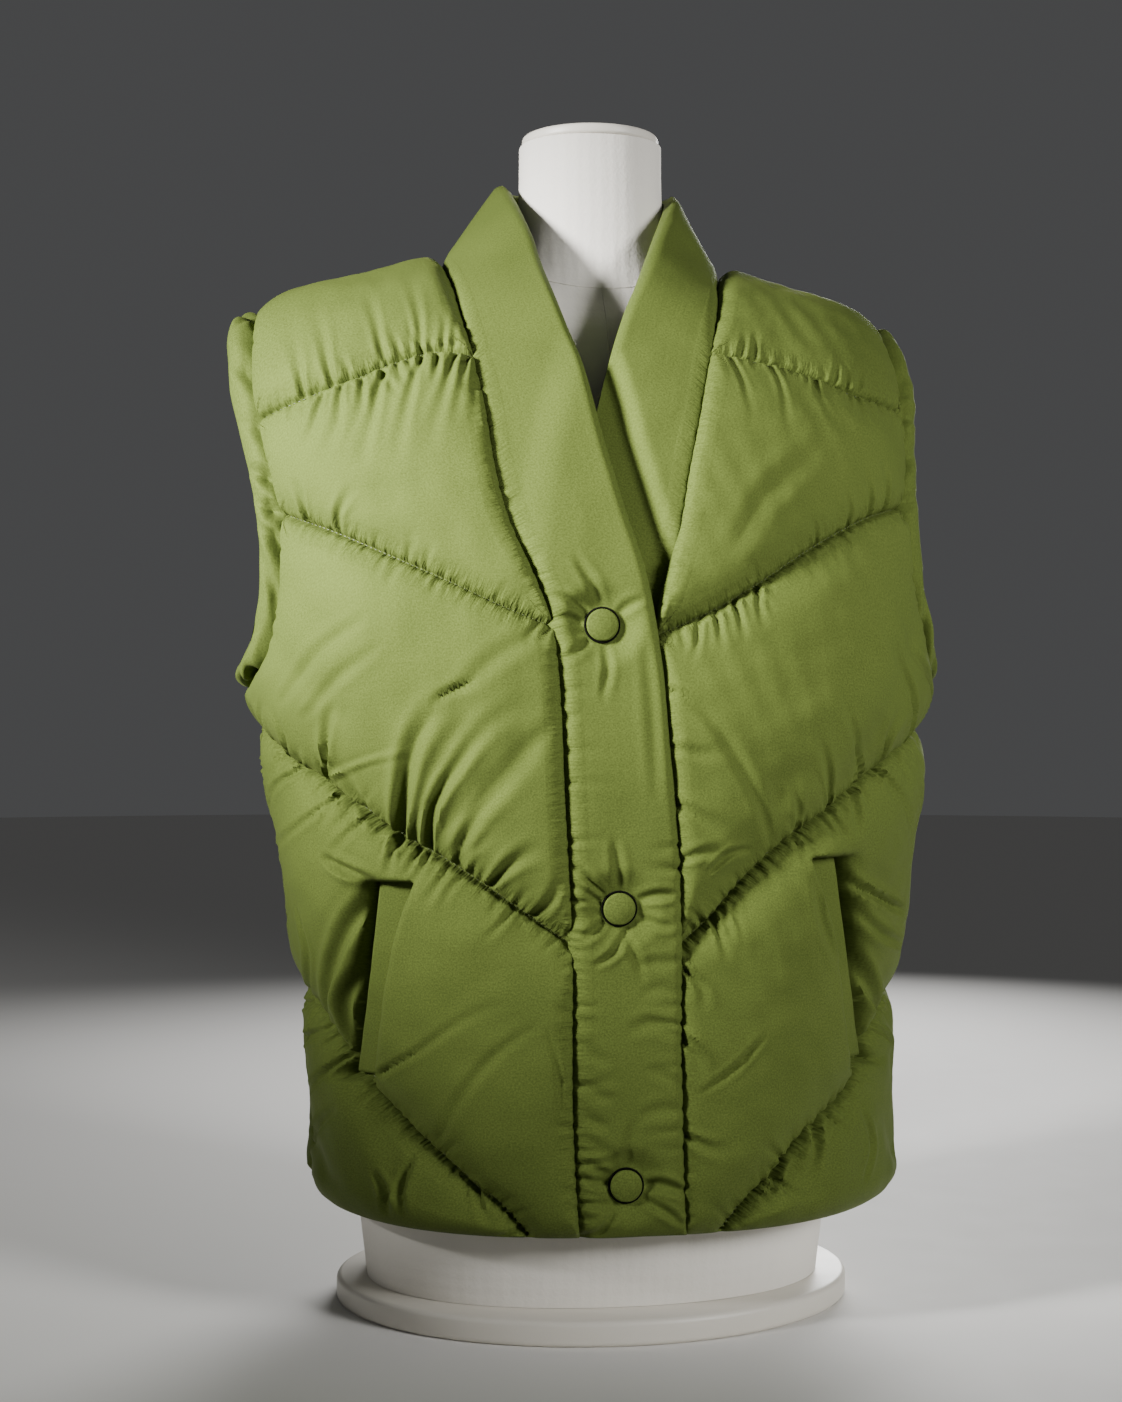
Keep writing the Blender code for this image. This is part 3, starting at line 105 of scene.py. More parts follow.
NECK_X = -0.0088  # middle, half width and back reach of the neck seam
NECK_HALF = 0.0988
NECK_BACK = 0.078
COLLAR_X = -0.002  # the same for the collar's top edge
COLLAR_HALF = 0.0575
COLLAR_BACK = 0.062
COLLAR_SIDE_TOP = (0.813, 0.810)
COLLAR_BACK_TOP = 0.822

CUFF_WIDTH = 0.028  # the armhole band stands out from its seam
CUFF_OUT = 0.0135
CUFF_UNDER = 0.70  # at the underarm this share of the outward padding is left out
CUFF_OVER = 0.60  # and at the shoulder this share is added
CUFF_TOP_WIDER = 0.004  # it is also wider there
CUFF_IN = 0.0080
CUFF_LEAN = 0.30  # it leans in towards the middle of the armhole
CUFF_TIP = 0.0015  # half thickness of the turned edge
CUFF_SKEW = 1.10  # fattest beyond the middle of its width

WELT_THICK = 0.0028
WELT_CLEAR = 0.0009
WELT_INSET = 0.0012
WELT_RUN = (0.07, 0.985)  # the strip's ends, as shares from the foot to the top

CAP_RADIUS = 0.0108
CAP_RIM = 0.0016
CAP_HEIGHT = 0.0048
CAP_CLEAR = 0.0004
DIMPLE_FLOOR = 0.012
DIMPLE_REACH = 0.030
DIMPLE_DEPTH = 0.0070
CAP_FLAT = 0.004  # creases fade out this far round a cap
CAP_STEPS = 8  # along the rim and along the dome
CAP_SIDES = 64
RING_RADIUS = 0.0115  # of the matt near-black ring round a cap, painted shade for the shadow line at its edge
RING_THICK = 0.0008  # half of its thickness
RING_SEAT = 0.2  # height of its middle over the cap's underside, as a share of that

HIGH_SECTION = 0.690  # above this the band settles on the body along the rays

BOARD_THICK = 0.018
BOARD_HALF = (0.188, 0.152)
BOARD_BEVEL = 0.004
FORM_CLEAR = 0.0030  # form's shoulders under the vest's inner skin
NECK_TOP = 0.845
NECK_CAP_THICK = 0.008
NECK_CAP_HALF = 0.0505
NECK_CAP_BEVEL = 0.0025

# Cells of the quilted grids: rows between the cross lines, from the hem up, and columns.
FINE = 4  # outer cells along one inner cell
ROWS = tuple(FINE * k for k in (15, 24, 6, 18, 18, 12))
FRONT_COLUMNS = tuple(FINE * k for k in (3, 15, 6, 18))
FIRST_COLUMN = 0.0100  # width of the cell along the band seam
SHOULDER_COLUMNS = FINE * 14
NECK_COLUMNS = FINE * 26
BAND_COLUMNS = FINE * 14
CUFF_COLUMNS = FINE * 12
UNDERARM_ROW = sum(ROWS[:3])
CROWDING = 0.65  # how far cells crowd at the stitch lines; 0 spaces them evenly
SHOULDER_KNOTS = (0.45, 0.60)
TAIL_START = 0.022  # the lowest stitch line bends to the hem over this width
CELL_LIMIT = 1e-6  # points closer than this are one

# Points along each curve, close enough for straight steps between them.
POINTS_ALONG = {"line": 160, "back_line": 240, "band": 120, "band_rise": 12, "side": 80,
                "armhole": 90, "underarm": 14, "shoulder": 40, "crease": 9}


class Table:
    """Rows of sizes in mm with named columns, read in m as smooth curves along the first.

    Columns in capitals are plain numbers.
    """

    def __init__(self, names, rows):
        self.names = names.lower().split()
        self.rows = np.array(sorted(rows), dtype=float)
        self.rows /= [1 if name.isupper() else 1000 for name in names.split()]

    def column(self, name):
        return self.rows[:, self.names.index(name)]

    def at(self, name, where):
        xs, ys = self.rows[:, 0], self.column(name)
        where = np.clip(where, xs[0], xs[-1])
        i = np.clip(np.searchsorted(xs, where) - 1, 0, len(xs) - 2)
        slopes = np.gradient(ys, xs)
        step = xs[i + 1] - xs[i]
        t = (where - xs[i]) / step
        ahead = (2 * t**3 - 3 * t**2 + 1) * ys[i] + (t**3 - 2 * t**2 + t) * step * slopes[i]
        behind = (3 * t**2 - 2 * t**3) * ys[i + 1] + (t**3 - t**2) * step * slopes[i + 1]
        return ahead + behind


# Rings of the vest's inner skin.
BODY = Table("z shift half front back", [
    (50, 6, 195, 143, 141),
    (120, 6, 191, 142, 140),
    (180, 4, 192, 143, 139),
    (250, 2, 200, 145, 138),
    (310, 2, 207, 148, 138),
    (380, 0, 219, 151, 139),
    (450, -3, 231, 152, 140),
    (520, -6, 230, 149, 139),
    (590, -11, 228, 140, 136),
    (660, -16.5, 227.5, 124, 128),
    (720, -20, 229.5, 104, 112),
    (780, -20, 229.5, 90, 98),
])

# Height of the shoulder line over the distance from the shoulders' middle.
SHOULDER_LINE = Table("reach z", [
    (0, 757), (60, 752), (100, 740.5), (140, 725.5), (180, 716), (210, 710.5), (250, 703),
])

# One half of an armhole, seen from the side: the front edge and the back edge.
ARMHOLE = Table("z front back", [
    (447.5, 0, 0), (450, -22, 24), (460, -50, 50), (490, -73, 70), (530, -80, 78), (570, -76, 78),
    (615, -63, 74), (655, -49, 66), (692, -24, 45), (710.5, 12, 12),
])
SHOULDER_TIP = 0.2245
UNDERARM = 0.4475
UNDERARM_CURL = 0.004  # the lowest part of an armhole has its points closer together
ABOVE_CURL = 0.452

# The over band (wearer's right): x of its seam by height.
OVER_SEAM = Table("z x", [
    (75, -31), (160, -35), (270, -36), (377, -42), (458, -46.5), (486, -50), (519, -62),
    (556, -78), (586, -85.5), (631, -92), (688, -102), (722, -106.5),
])

# The under band (wearer's left): x of its seam by height.
UNDER_SEAM = Table("z x", [
    (75, 34), (160, 31), (250, 30), (330, 28), (410, 20.5), (458, 16), (498, 20), (526, 28),
    (564, 37), (591, 42), (623, 50), (657, 59), (685, 67), (722, 78),
])

# Free edges of the bands, opposite the seam's height. Where lies is 1 the edge is on the
# chest and y is the body's own; where it is 0 the collar stands free of it.
OVER_EDGE = Table("seam_z x y z LIES", [
    (75, 40, -143, 75, 1),
    (160, 37, -143, 160, 1),
    (250, 36, -145, 250, 1),
    (330, 34, -149, 330, 1),
    (410, 26.5, -152, 410, 1),
    (458, 21.5, -152, 462, 1),
    (497, 12, -150, 517, 1),
    (538, -3, -144, 566, 1),
    (574, -16, -137, 612, 1),
    (612, -25.5, -124, 655, 1),
    (655, -38, -100, 702, 0.4),
    (695, -47.5, -64, 745, 0),
    (729, -55, -28, 787, 0),
    (745, -59.5, 12, 813, 0),
])
UNDER_EDGE = Table("seam_z x y z LIES", [
    (75, -20, -143, 75, 1),
    (160, -24, -143, 160, 1),
    (250, -25.5, -145, 250, 1),
    (330, -29, -149, 330, 1),
    (410, -33, -152, 410, 1),
    (458, -35.5, -152, 462, 1),
    (498, -37, -150, 515, 1),
    (538, -32, -144, 565, 1),
    (574, -23.5, -137, 607, 1),
    (612, -11, -124, 652, 1),
    (655, 4, -102, 695, 0.4),
    (693, 20.5, -80, 733, 0),
    (722, 38, -50, 772, 0),
    (734, 50, -20, 796, 0),
    (742, 56, 12, 810, 0),
])


def in_metres(rows_by_name):
    """Rows of sizes in mm as arrays in m."""
    return {name: np.array(rows) / 1000 for name, rows in rows_by_name.items()}


# Cross lines of the fronts, from the band seam out to the side: x and height in mm. The first
# and last rows give only the height at which the line meets the band seam and the side.
RIGHT_LINES = in_metres({
    "chevron_3": [(0, 100), (-60, 98), (-89, 102), (-107, 118), (-140, 150), (-164, 180),
        (-180, 208), (0, 238)],
    "chevron_2": [(0, 271), (-74, 298), (-115, 327), (-146, 346), (-191, 381), (-218, 405),
        (0, 426)],
    "underarm": [(0, 300), (-115, 356), (-160, 388), (-205, 424), (0, 447.5)],
    "chevron_1": [(0, 484), (-79, 496), (-104, 508), (-129, 520), (-160, 535), (-190, 550),
        (0, 564)],
    "yoke": [(0, 661), (-121, 664), (-143, 659), (-175, 647), (-207, 637), (0, 630)],
})
LEFT_LINES = in_metres({
    "chevron_3": [(0, 100), (60, 96), (87, 101), (108, 122), (130, 144), (155, 164), (168, 188),
        (181, 211), (0, 238)],
    "chevron_2": [(0, 266), (56, 289), (77, 313), (105, 338), (136, 359), (164, 380), (205, 408),
        (0, 426)],
    "underarm": [(0, 300), (105, 366), (150, 395), (200, 429), (0, 447.5)],
    "chevron_1": [(0, 478), (56, 495), (86, 512), (120, 534), (146, 549), (170, 561), (0, 572)],
    "yoke": [(0, 667), (93, 662), (118, 657), (143, 650), (159, 645), (0, 638)],
})
CHEVRON_3_ENDS = (0.064, 0.0765)  # the lowest stitch line runs out at the hem here
# The hem's way to the side: distance from the middle and height.
HEM_LINE = ((0.060, 0.0750), (0.100, 0.0757), (0.140, 0.0772), (0.175, 0.0796))

# Cross lines of the back: distance from the centre back and height; the last row is the side.
BACK_LINES = in_metres({
    "chevron_3": [(0, 96), (60, 100), (100, 122), (140, 160), (180, 205)],
    "chevron_2": [(0, 262), (60, 296), (120, 336), (180, 380)],
    "underarm": [(0, 300), (60, 330), (120, 366), (180, 408)],
    "chevron_1": [(0, 470), (60, 497), (120, 526), (170, 549)],
    "yoke": [(0, 676), (60, 673), (120, 662), (170, 648)],
})
LINE_ORDER = ("hem", "chevron_3", "chevron_2", "underarm", "chevron_1", "yoke", "shoulder")
STITCHED = ("chevron_3", "chevron_2", "chevron_1", "yoke")

# Pocket welts: distance of the two long edges from the middle, and the height, at each end.
WELTS = {
    -1: {"top": (0.135, 0.159, 0.318), "foot": (0.157, 0.171, 0.168)},
    1: {"top": (0.122, 0.146, 0.332), "foot": (0.156, 0.174, 0.172)},
}
WELT_BEYOND = (-0.4, 1.3)  # the grid follows a welt's edges from here to here, as shares

# Snap caps on the over band: x and height.
CAPS = [(-0.0185, 0.485), (-0.0065, 0.297), (-0.0010, 0.110)]

# Largest folds of each panel: soft troughs from x and height to x and height, and their half
# width and depth, in mm.
FOLDS = in_metres({
    "front_right": [
        (-138, 345, -104, 430, 11, 6),
        (-128, 340, -70, 408, 10, 4.5),
        (-192, 385, -186, 440, 12, 4.5),
        (-162, 306, -188, 222, 12, 6),
        (-192, 150, -172, 98, 10, 5),
        (-150, 146, -137, 108, 9, 4),
        (-215, 470, -180, 430, 10, 4),
    ],
    "front_left": [
        (145, 375, 195, 475, 11, 4.5),
        (150, 325, 188, 288, 11, 6),
        (158, 262, 190, 208, 11, 5.5),
        (60, 300, 100, 380, 10, 3.5),
        (170, 160, 188, 110, 10, 4.5),
        (115, 135, 120, 98, 9, 3.5),
    ],
    "back": [
        (-150, 355, -110, 435, 12, 5.5),
        (140, 350, 165, 440, 12, 5),
        (-60, 300, -50, 390, 11, 3.5),
        (70, 180, 110, 250, 12, 4.5),
        (-120, 150, -165, 240, 12, 5),
        (100, 540, 150, 610, 12, 4.5),
        (-90, 520, -130, 600, 12, 4.5),
        (-160, 100, -150, 150, 10, 4.5),
        (150, 100, 160, 160, 10, 4),
    ],
})

# Rings of the dress form, tilted so that the upper ones climb the shoulders to the neck.
FORM = Table("LEVEL side_z front_z back_z half front back", [
    (0, 18.3, 18.3, 18.3, 166, 118, 126),
    (1, 75, 75, 75, 172, 123, 133),
    (2, 135, 135, 135, 173, 121, 135),
    (3, 200, 200, 200, 160, 111, 124),
    (4, 270, 270, 270, 136, 97, 103),
    (5, 335, 335, 335, 122, 91, 90),
    (6, 400, 400, 400, 130, 104, 94),
    (7, 460, 460, 460, 143, 123, 102),
    (8, 505, 505, 505, 149, 129, 107),
    (9, 560, 555, 560, 152, 117, 110),
    (10, 625, 605, 620, 162, 102, 110),
    (11, 680, 650, 675, 174, 90, 103),
    (12, 711, 680, 700, 168, 82, 90),
    (13, 728, 702, 722, 145, 75, 79),
    (14, 739, 714, 738, 112, 68, 69),
    (15, 745, 724, 751, 78, 61, 63),
    (16, 757, 737, 766, 63, 56, 60),
    (17, 782, 765, 788, 55.5, 52, 56.5),
    (18, 808, 802, 812, 53, 50, 55),
    (19, 845, 845, 845, 52.5, 50, 55),
])
FORM_ROUNDNESS = 2.15
FORM_NECK_Y = 0.010
CLIPPED_OVER = 0.070  # the shoulders under the cloth are everything wider than this


# ---- the vest's body shape
def smooth_max(a, b, blend):
    h = np.maximum(blend - np.abs(a - b), 0) / blend
    return np.maximum(a, b) + h * h * blend / 4


def smooth_step(t):
    t = np.clip(t, 0, 1)
    return t * t * (3 - 2 * t)


def apart(a, b):
    return np.linalg.norm(a - b, axis=-1)


def unit(vectors):
    return vectors / np.linalg.norm(vectors, axis=-1, keepdims=True)


def arc_rise(t):
    """Quarter circle: steep at 0, level at 1 and on."""
    t = np.clip(t, 0, 1)
    return np.sqrt(1 - (1 - t) ** 2)


def shoulder_height(points):
    reach = np.abs(points[..., 0] - SHOULDER_SHIFT)
    return SHOULDER_LINE.at("z", reach) - SHOULDER_FALL * (points[..., 1] - RIDGE_Y) ** 2


def body_depth(points):
    """How far points lie outside the vest's inner skin, and negative inside it."""
    x, y, z = points[..., 0], points[..., 1], points[..., 2]
    shift = BODY.at("shift", z)
    half = BODY.at("half", z)
    deep = np.where(y < 0, BODY.at("front", z), BODY.at("back", z))
    size = (np.abs((x - shift) / half) ** ROUNDNESS + np.abs(y / deep) ** ROUNDNESS)
    size = np.maximum(size, 1e-9) ** (1 / ROUNDNESS)
    around = np.hypot(x - shift, y) * (1 - 1 / size)
    return smooth_max(around, z - shoulder_height(points), SHOULDER_ROUND)


RAY_REACH = 0.6  # longer than any ray inside the body
RAY_HALVINGS = 36  # which find its end to far less than a micrometre


def meet_body(start, direction, level=0.0):
    """Where rays that start inside the body leave it, or leave a skin parallel to it."""
    near = np.zeros(start.shape[:-1])
    far = np.full(start.shape[:-1], RAY_REACH)
    for _ in range(RAY_HALVINGS):
        middle = (near + far) / 2
        inside = body_depth(start + middle[..., None] * direction) < level
        near = np.where(inside, middle, near)
        far = np.where(inside, far, middle)
    return start + near[..., None] * direction


def on_body(points, level=0.0):
    """Points moved on to the body, straight away from its axis."""
    core = np.stack([BODY.at("shift", points[..., 2]), np.zeros(points.shape[:-1]),
                     np.minimum(points[..., 2], CORE_HEIGHT)], axis=-1)
    return meet_body(core, unit(points - core), level=level)


def on_face(x, z, way):
    """The point at x and height z of the front, where way is -1, or of the back."""
    x, z = np.broadcast_arrays(np.asarray(x, float), np.asarray(z, float))
    start = np.stack([x, np.full(x.shape, RIDGE_Y), z], axis=-1)
    return meet_body(start, np.array([0.0, way, 0.0]))


def on_front(x, z):
    return on_face(x, z, -1.0)


def on_back(x, z):
    return on_face(x, z, 1.0)


def on_top(x, y):
    x, y = np.broadcast_arrays(np.asarray(x, float), np.asarray(y, float))
    start = np.stack([x, y, np.full(x.shape, CORE_HEIGHT)], axis=-1)
    return meet_body(start, np.array([0.0, 0.0, 1.0]))


def body_normals(points):
    step = 0.001
    slopes = []
    for axis in range(3):
        move = np.zeros(3)
        move[axis] = step
        slopes.append(body_depth(points + move) - body_depth(points - move))
    return unit(np.stack(slopes, axis=-1))


# ---- curves on the body
def lengths(points):
    steps = np.linalg.norm(np.diff(points, axis=0), axis=1)
    return np.concatenate([[0.0], np.cumsum(steps)])


def at_lengths(points, wanted):
    run = lengths(points)
    return np.stack([np.interp(wanted, run, points[:, k]) for k in range(3)], axis=1)


def smooth_path(points, count=POINTS_ALONG["line"]):
    """A smooth curve through a few points, as closely spaced points on the body."""
    run = lengths(points)
    table = Table("RUN X Y Z", np.column_stack([run, points]).tolist())
    wanted = np.linspace(0, run[-1], count)
    return on_body(np.stack([table.at(k, wanted) for k in "xyz"], axis=1))


def band_seam(side):
    """Seam of a front with its band, from the hem up to the shoulder seam."""
    table = OVER_SEAM if side < 0 else UNDER_SEAM
    heights = np.linspace(HEM_HEIGHT, table.rows[-1, 0], POINTS_ALONG["band"])
    front = on_front(table.at("x", heights), heights)
    top = on_top(NECK_X + side * NECK_HALF, RIDGE_Y)
    blend = np.linspace(0, 1, POINTS_ALONG["band_rise"])[1:, None]
    rise = front[-1] * (1 - blend) + top * blend
    return np.vstack([front, on_body(rise)])


def armhole(side, face):
    """Half an armhole, from the underarm up to the shoulder tip."""
    curl = np.linspace(0, 1, POINTS_ALONG["underarm"]) ** 2
    rest = np.linspace(ABOVE_CURL, ARMHOLE.rows[-1, 0], POINTS_ALONG["armhole"])
    heights = np.concatenate([ARMHOLE.rows[0, 0] + UNDERARM_CURL * curl, rest])
    y = ARMHOLE.at(face, heights)
    x = BODY.at("shift", heights) + side * SHOULDER_TIP
    return on_body(np.stack([x, y, heights], axis=1))


def side_seam(side):
    heights = np.linspace(HEM_SIDE_HEIGHT, UNDERARM, POINTS_ALONG["side"])
    x = BODY.at("shift", heights) + side * BODY.at("half", heights)
    return on_body(np.stack([x, np.zeros(len(x)), heights], axis=1))


def neck_seam(side):
    """Half the back neck seam, from the centre back to the shoulder seam."""
    angle = np.linspace(0, pi / 2, NECK_COLUMNS // 2 + 1)
    return on_top(NECK_X + side * NECK_HALF * np.sin(angle), RIDGE_Y + NECK_BACK * np.cos(angle))


def shoulder_seam(side):
    start = on_top(NECK_X + side * NECK_HALF, RIDGE_Y)
    end = armhole(side, "front")[-1]
    blend = np.linspace(0, 1, POINTS_ALONG["shoulder"])[:, None]
    return on_body(start * (1 - blend) + end * blend)


def where_height(curve, z):
    """The length along a rising curve at which it reaches height z."""
    return np.interp(z, curve[:, 2], lengths(curve))


def spread(count):
    """Cell edges that are closer together at both ends, where the padding rises."""
    k = np.arange(count + 1) / count
    return (1 - CROWDING) * k + CROWDING * (1 - np.cos(pi * k)) / 2


# ---- grids of the panels
def rows_along(curve, stops, counts):
    """Points of a curve at every row of a grid, all but the first; stops part the counts."""
    return [at_lengths(curve, start + (end - start) * spread(count)[1:])
            for start, end, count in zip(stops, stops[1:], counts)]


def edge_rows(curve, heights):
    """Points of a panel's long edge at every row of its grid."""
    between = [where_height(curve, z) for z in heights[1:-1]]
    stops = [0.0] + between + [lengths(curve)[-1]]
    return np.vstack([at_lengths(curve, [0.0])] + rows_along(curve, stops, ROWS))


def outer_edge(side, face, heights):
    """Side seam and armhole edge of a panel at every row of its grid."""
    low, high = side_seam(side), armhole(side, face)
    low_stops = [0.0] + [where_height(low, z) for z in heights[1:3]] + [lengths(low)[-1]]
    high_stops = [0.0] + [where_height(high, z) for z in heights[4:6]] + [lengths(high)[-1]]
    return np.vstack([at_lengths(low, [0.0])] + rows_along(low, low_stops, ROWS[:3])
                     + rows_along(high, high_stops, ROWS[3:]))


def far_heights(table):
    """Heights of the cross lines at the side seam and the armhole."""
    between = [table[name][-1][1] for name in LINE_ORDER[1:-1]]
    return [HEM_HEIGHT] + between + [ARMHOLE.rows[-1, 0]]


def columns_along(curve, knots, counts):
    """Points of a cross line at every column; knots are lengths between groups of columns."""
    stops = [0.0] + list(knots) + [lengths(curve)[-1]]
    wanted = [0.0]
    for start, end, count in zip(stops, stops[1:], counts):
        wanted += list(start + (end - start) * np.arange(1, count + 1) / count)
    return at_lengths(curve, wanted)


def welt_x(side, z):
    """The welt's two long edges at height z, run on above and below it."""
    top, foot = WELTS[side]["top"], WELTS[side]["foot"]
    t = np.clip((z - foot[2]) / (top[2] - foot[2]), *WELT_BEYOND)
    return [side * (foot[k] + (top[k] - foot[k]) * t) for k in (0, 1)]


def fill_grid(lines, near, far):
    """Rows of points between neighbouring cross lines, on the body."""
    rows = [lines[0]]
    done = 0
    u = np.linspace(0, 1, lines[0].shape[0])[None, :, None]
    for low, high, count in zip(lines, lines[1:], ROWS):
        v = spread(count)[:, None, None]
        left = near[done:done + count + 1][:, None]
        right = far[done:done + count + 1][:, None]
        between = (1 - v) * low[None] + v * high[None]
        sides = (1 - u) * left + u * right
        corners = ((1 - v) * ((1 - u) * low[0] + u * low[-1])
                   + v * ((1 - u) * high[0] + u * high[-1]))
        patch = between + sides - corners
        patch[1:-1, 1:-1] = on_body(patch[1:-1, 1:-1])
        patch[:, 0], patch[:, -1] = left[:, 0], right[:, 0]
        patch[-1] = high
        rows.extend(patch[1:])
        done += count
    return np.array(rows)


def front_grid(side):
    """Points of a front's inner skin, its stitch lines and its band seam rows."""
    table = RIGHT_LINES if side < 0 else LEFT_LINES
    seam = band_seam(side)
    between = [table[name][0][1] for name in LINE_ORDER[1:-1]]
    near_heights = [HEM_HEIGHT] + between + [seam[-1, 2]]
    near = edge_rows(seam, near_heights)
    far = outer_edge(side, "front", far_heights(table))
    lines, stitches = [], []
    done = 0
    for k, name in enumerate(LINE_ORDER):
        if name == "shoulder":
            curve = shoulder_seam(side)
        else:
            hem = [(side * x, z) for x, z in HEM_LINE]
            inner = table[name][1:-1] if name in table else hem
            middle = [on_front(x, z) for x, z in inner]
            curve = smooth_path(np.vstack([near[done], *middle, far[done]]))
            curve[0], curve[-1] = near[done], far[done]
        if name in ("yoke", "shoulder"):
            knots = [FIRST_COLUMN] + list(lengths(curve)[-1] * np.array(SHOULDER_KNOTS))
        else:
            near_part = curve[:len(curve) * 3 // 4]  # the part that crosses the welt
            knots = [FIRST_COLUMN]
            for edge in welt_x(side, near_part[:, 2]):
                beyond = side * (near_part[:, 0] - edge)
                knots.append(np.interp(0.0, beyond, lengths(near_part)))
        line = columns_along(curve, knots, FRONT_COLUMNS)
        line[0], line[-1] = near[done], far[done]
        lines.append(line)
        if name in STITCHED:
            stitch = curve
            if name == "chevron_3":
                keep = side * curve[:, 0] > CHEVRON_3_ENDS[0] + TAIL_START
                tail = on_front(side * CHEVRON_3_ENDS[0], CHEVRON_3_ENDS[1])
                stitch = smooth_path(np.vstack([tail, curve[keep][::6], curve[-1]]))
            stitches.append((name, stitch))
        if k < len(ROWS):
            done += ROWS[k]
    return fill_grid(lines, near, far), stitches, seam


def back_grid():
    """Points of the back's inner skin and its stitch lines; columns run from -X to +X."""
    near = outer_edge(-1, "back", far_heights(RIGHT_LINES))
    far = outer_edge(1, "back", far_heights(LEFT_LINES))
    lines, stitches = [], []
    done = 0
    total = 2 * SHOULDER_COLUMNS + NECK_COLUMNS
    for k, name in enumerate(LINE_ORDER):
        if name == "shoulder":
            right, left = shoulder_seam(-1)[::-1], shoulder_seam(1)
            right = at_lengths(right, np.linspace(0, lengths(right)[-1], SHOULDER_COLUMNS + 1))
            left = at_lengths(left, np.linspace(0, lengths(left)[-1], SHOULDER_COLUMNS + 1))
            neck_right, neck_left = neck_seam(-1)[::-1], neck_seam(1)
            line = np.vstack([right[:-1], neck_right[:-1], neck_left, left[1:]])
            curve = line
        else:
            rows = BACK_LINES.get(name, ((0.0, HEM_HEIGHT), *HEM_LINE))
            middle = [on_back(SHOULDER_SHIFT * (z - HEM_HEIGHT) - r, z) for r, z in rows[:0:-1]]
            middle += [on_back(SHOULDER_SHIFT * (z - HEM_HEIGHT) + r, z) for r, z in rows]
            curve = smooth_path(np.vstack([near[done], *middle, far[done]]),
                                POINTS_ALONG["back_line"])
            curve[0], curve[-1] = near[done], far[done]
            line = at_lengths(curve, np.linspace(0, lengths(curve)[-1], total + 1))
        line[0], line[-1] = near[done], far[done]
        lines.append(line)
        if name in STITCHED:
            stitches.append((name, curve))
        if k < len(ROWS):
            done += ROWS[k]
    return fill_grid(lines, near, far), stitches


# ---- padding
def follow(points, curve):
    """For each point: how far along a curve its nearest point lies, and how far away."""
    flat = points.reshape(-1, 3)
    run = lengths(curve)
    best, along = np.full(len(flat), np.inf), np.zeros(len(flat))
    for start, end, before in zip(curve, curve[1:], run):
        step = end - start
        size = max(step @ step, 1e-12)
        t = np.clip((flat - start) @ step / size, 0, 1)
        away = np.linalg.norm(flat - start - t[:, None] * step, axis=1)
        closer = away < best
        best = np.where(closer, away, best)
        along = np.where(closer, before + t * size ** 0.5, along)
    return along.reshape(points.shape[:-1]), best.reshape(points.shape[:-1])


def join_rises(rises):
    """The lowest of several rises, rounded where two of them cross."""
    short = sum((1 - rise) ** 4 for rise in rises)
    return 1 - np.minimum(short, 1) ** 0.25


def fold_depth(points, name):
    """Depth of the panel's large folds at each point."""
    depth = np.zeros(points.shape[:-1])
    place = on_back if name == "back" else on_front
    for x1, z1, x2, z2, half_width, deep in FOLDS[name]:
        ends = place(x1, z1), place(x2, z2)
        away = follow(points, on_body(np.linspace(*ends, POINTS_ALONG["crease"])))[1]
        depth = np.maximum(depth, deep * np.exp(-(away / half_width) ** 2))
    return depth


def pull_in(grid):
    """Moves a panel's sewn rims, all but the hem, in by half a seam gap."""
    grid = grid.copy()
    grid[-1] += unit(grid[-2] - grid[-1]) * SEAM_GAP / 2
    grid[:, 0] += unit(grid[:, 1] - grid[:, 0]) * SEAM_GAP / 2
    grid[:, -1] += unit(grid[:, -2] - grid[:, -1]) * SEAM_GAP / 2
    return grid


def free_edge_x(table, z):
    """x of a band's free edge at height z."""
    return np.interp(z, table.column("z"), table.column("x"))


def band_sections(side, front):
    """Seam and free-edge points of a band, from the centre back round and down to the hem."""
    table = OVER_EDGE if side < 0 else UNDER_EDGE
    seam_front = front[::-1, 0]
    heights = seam_front[:, 2]
    edge_front = np.stack([table.at(k, heights) for k in "xyz"], axis=1)
    edge_front[:, 2] = np.maximum(edge_front[:, 2], HEM_HEIGHT)
    lies = np.clip(table.at("lies", heights), 0, 1)[:, None]
    settled = edge_front.copy()
    down = lies[:, 0] > 0
    settled[down] = on_front(edge_front[down, 0], edge_front[down, 2])
    edge_front = edge_front * (1 - lies) + settled * lies
    seam_back = neck_seam(side)
    angle = np.linspace(0, pi / 2, len(seam_back))
    top = COLLAR_SIDE_TOP[0 if side < 0 else 1]
    edge_back = np.stack([COLLAR_X + side * COLLAR_HALF * np.sin(angle),
                          RIDGE_Y + COLLAR_BACK * np.cos(angle),
                          top + (COLLAR_BACK_TOP - top) * np.cos(angle) ** 2], axis=1)
    edge_back[-1] = edge_front[0]
    seam = np.vstack([seam_back[:-1], seam_front])
    edge = np.vstack([edge_back[:-1], edge_front])
    lies = np.concatenate([np.zeros(len(seam_back) - 1), lies[:, 0]])
    return seam, edge, lies


def band_base(seam, edge):
    """Inner skin of a band: straight from seam to edge, and never inside the body."""
    across = np.linspace(0, 1, BAND_COLUMNS + 1)[None, :, None]
    straight = seam[:, None] * (1 - across) + edge[:, None] * across
    base = straight.copy()
    sunk = body_depth(straight) < 0
    base[sunk] = on_front(straight[sunk][:, 0], straight[sunk][:, 2])
    high = sunk & (straight[..., 2] > HIGH_SECTION)
    base[high] = on_body(straight[high])
    base[:, 0] = seam
    return base


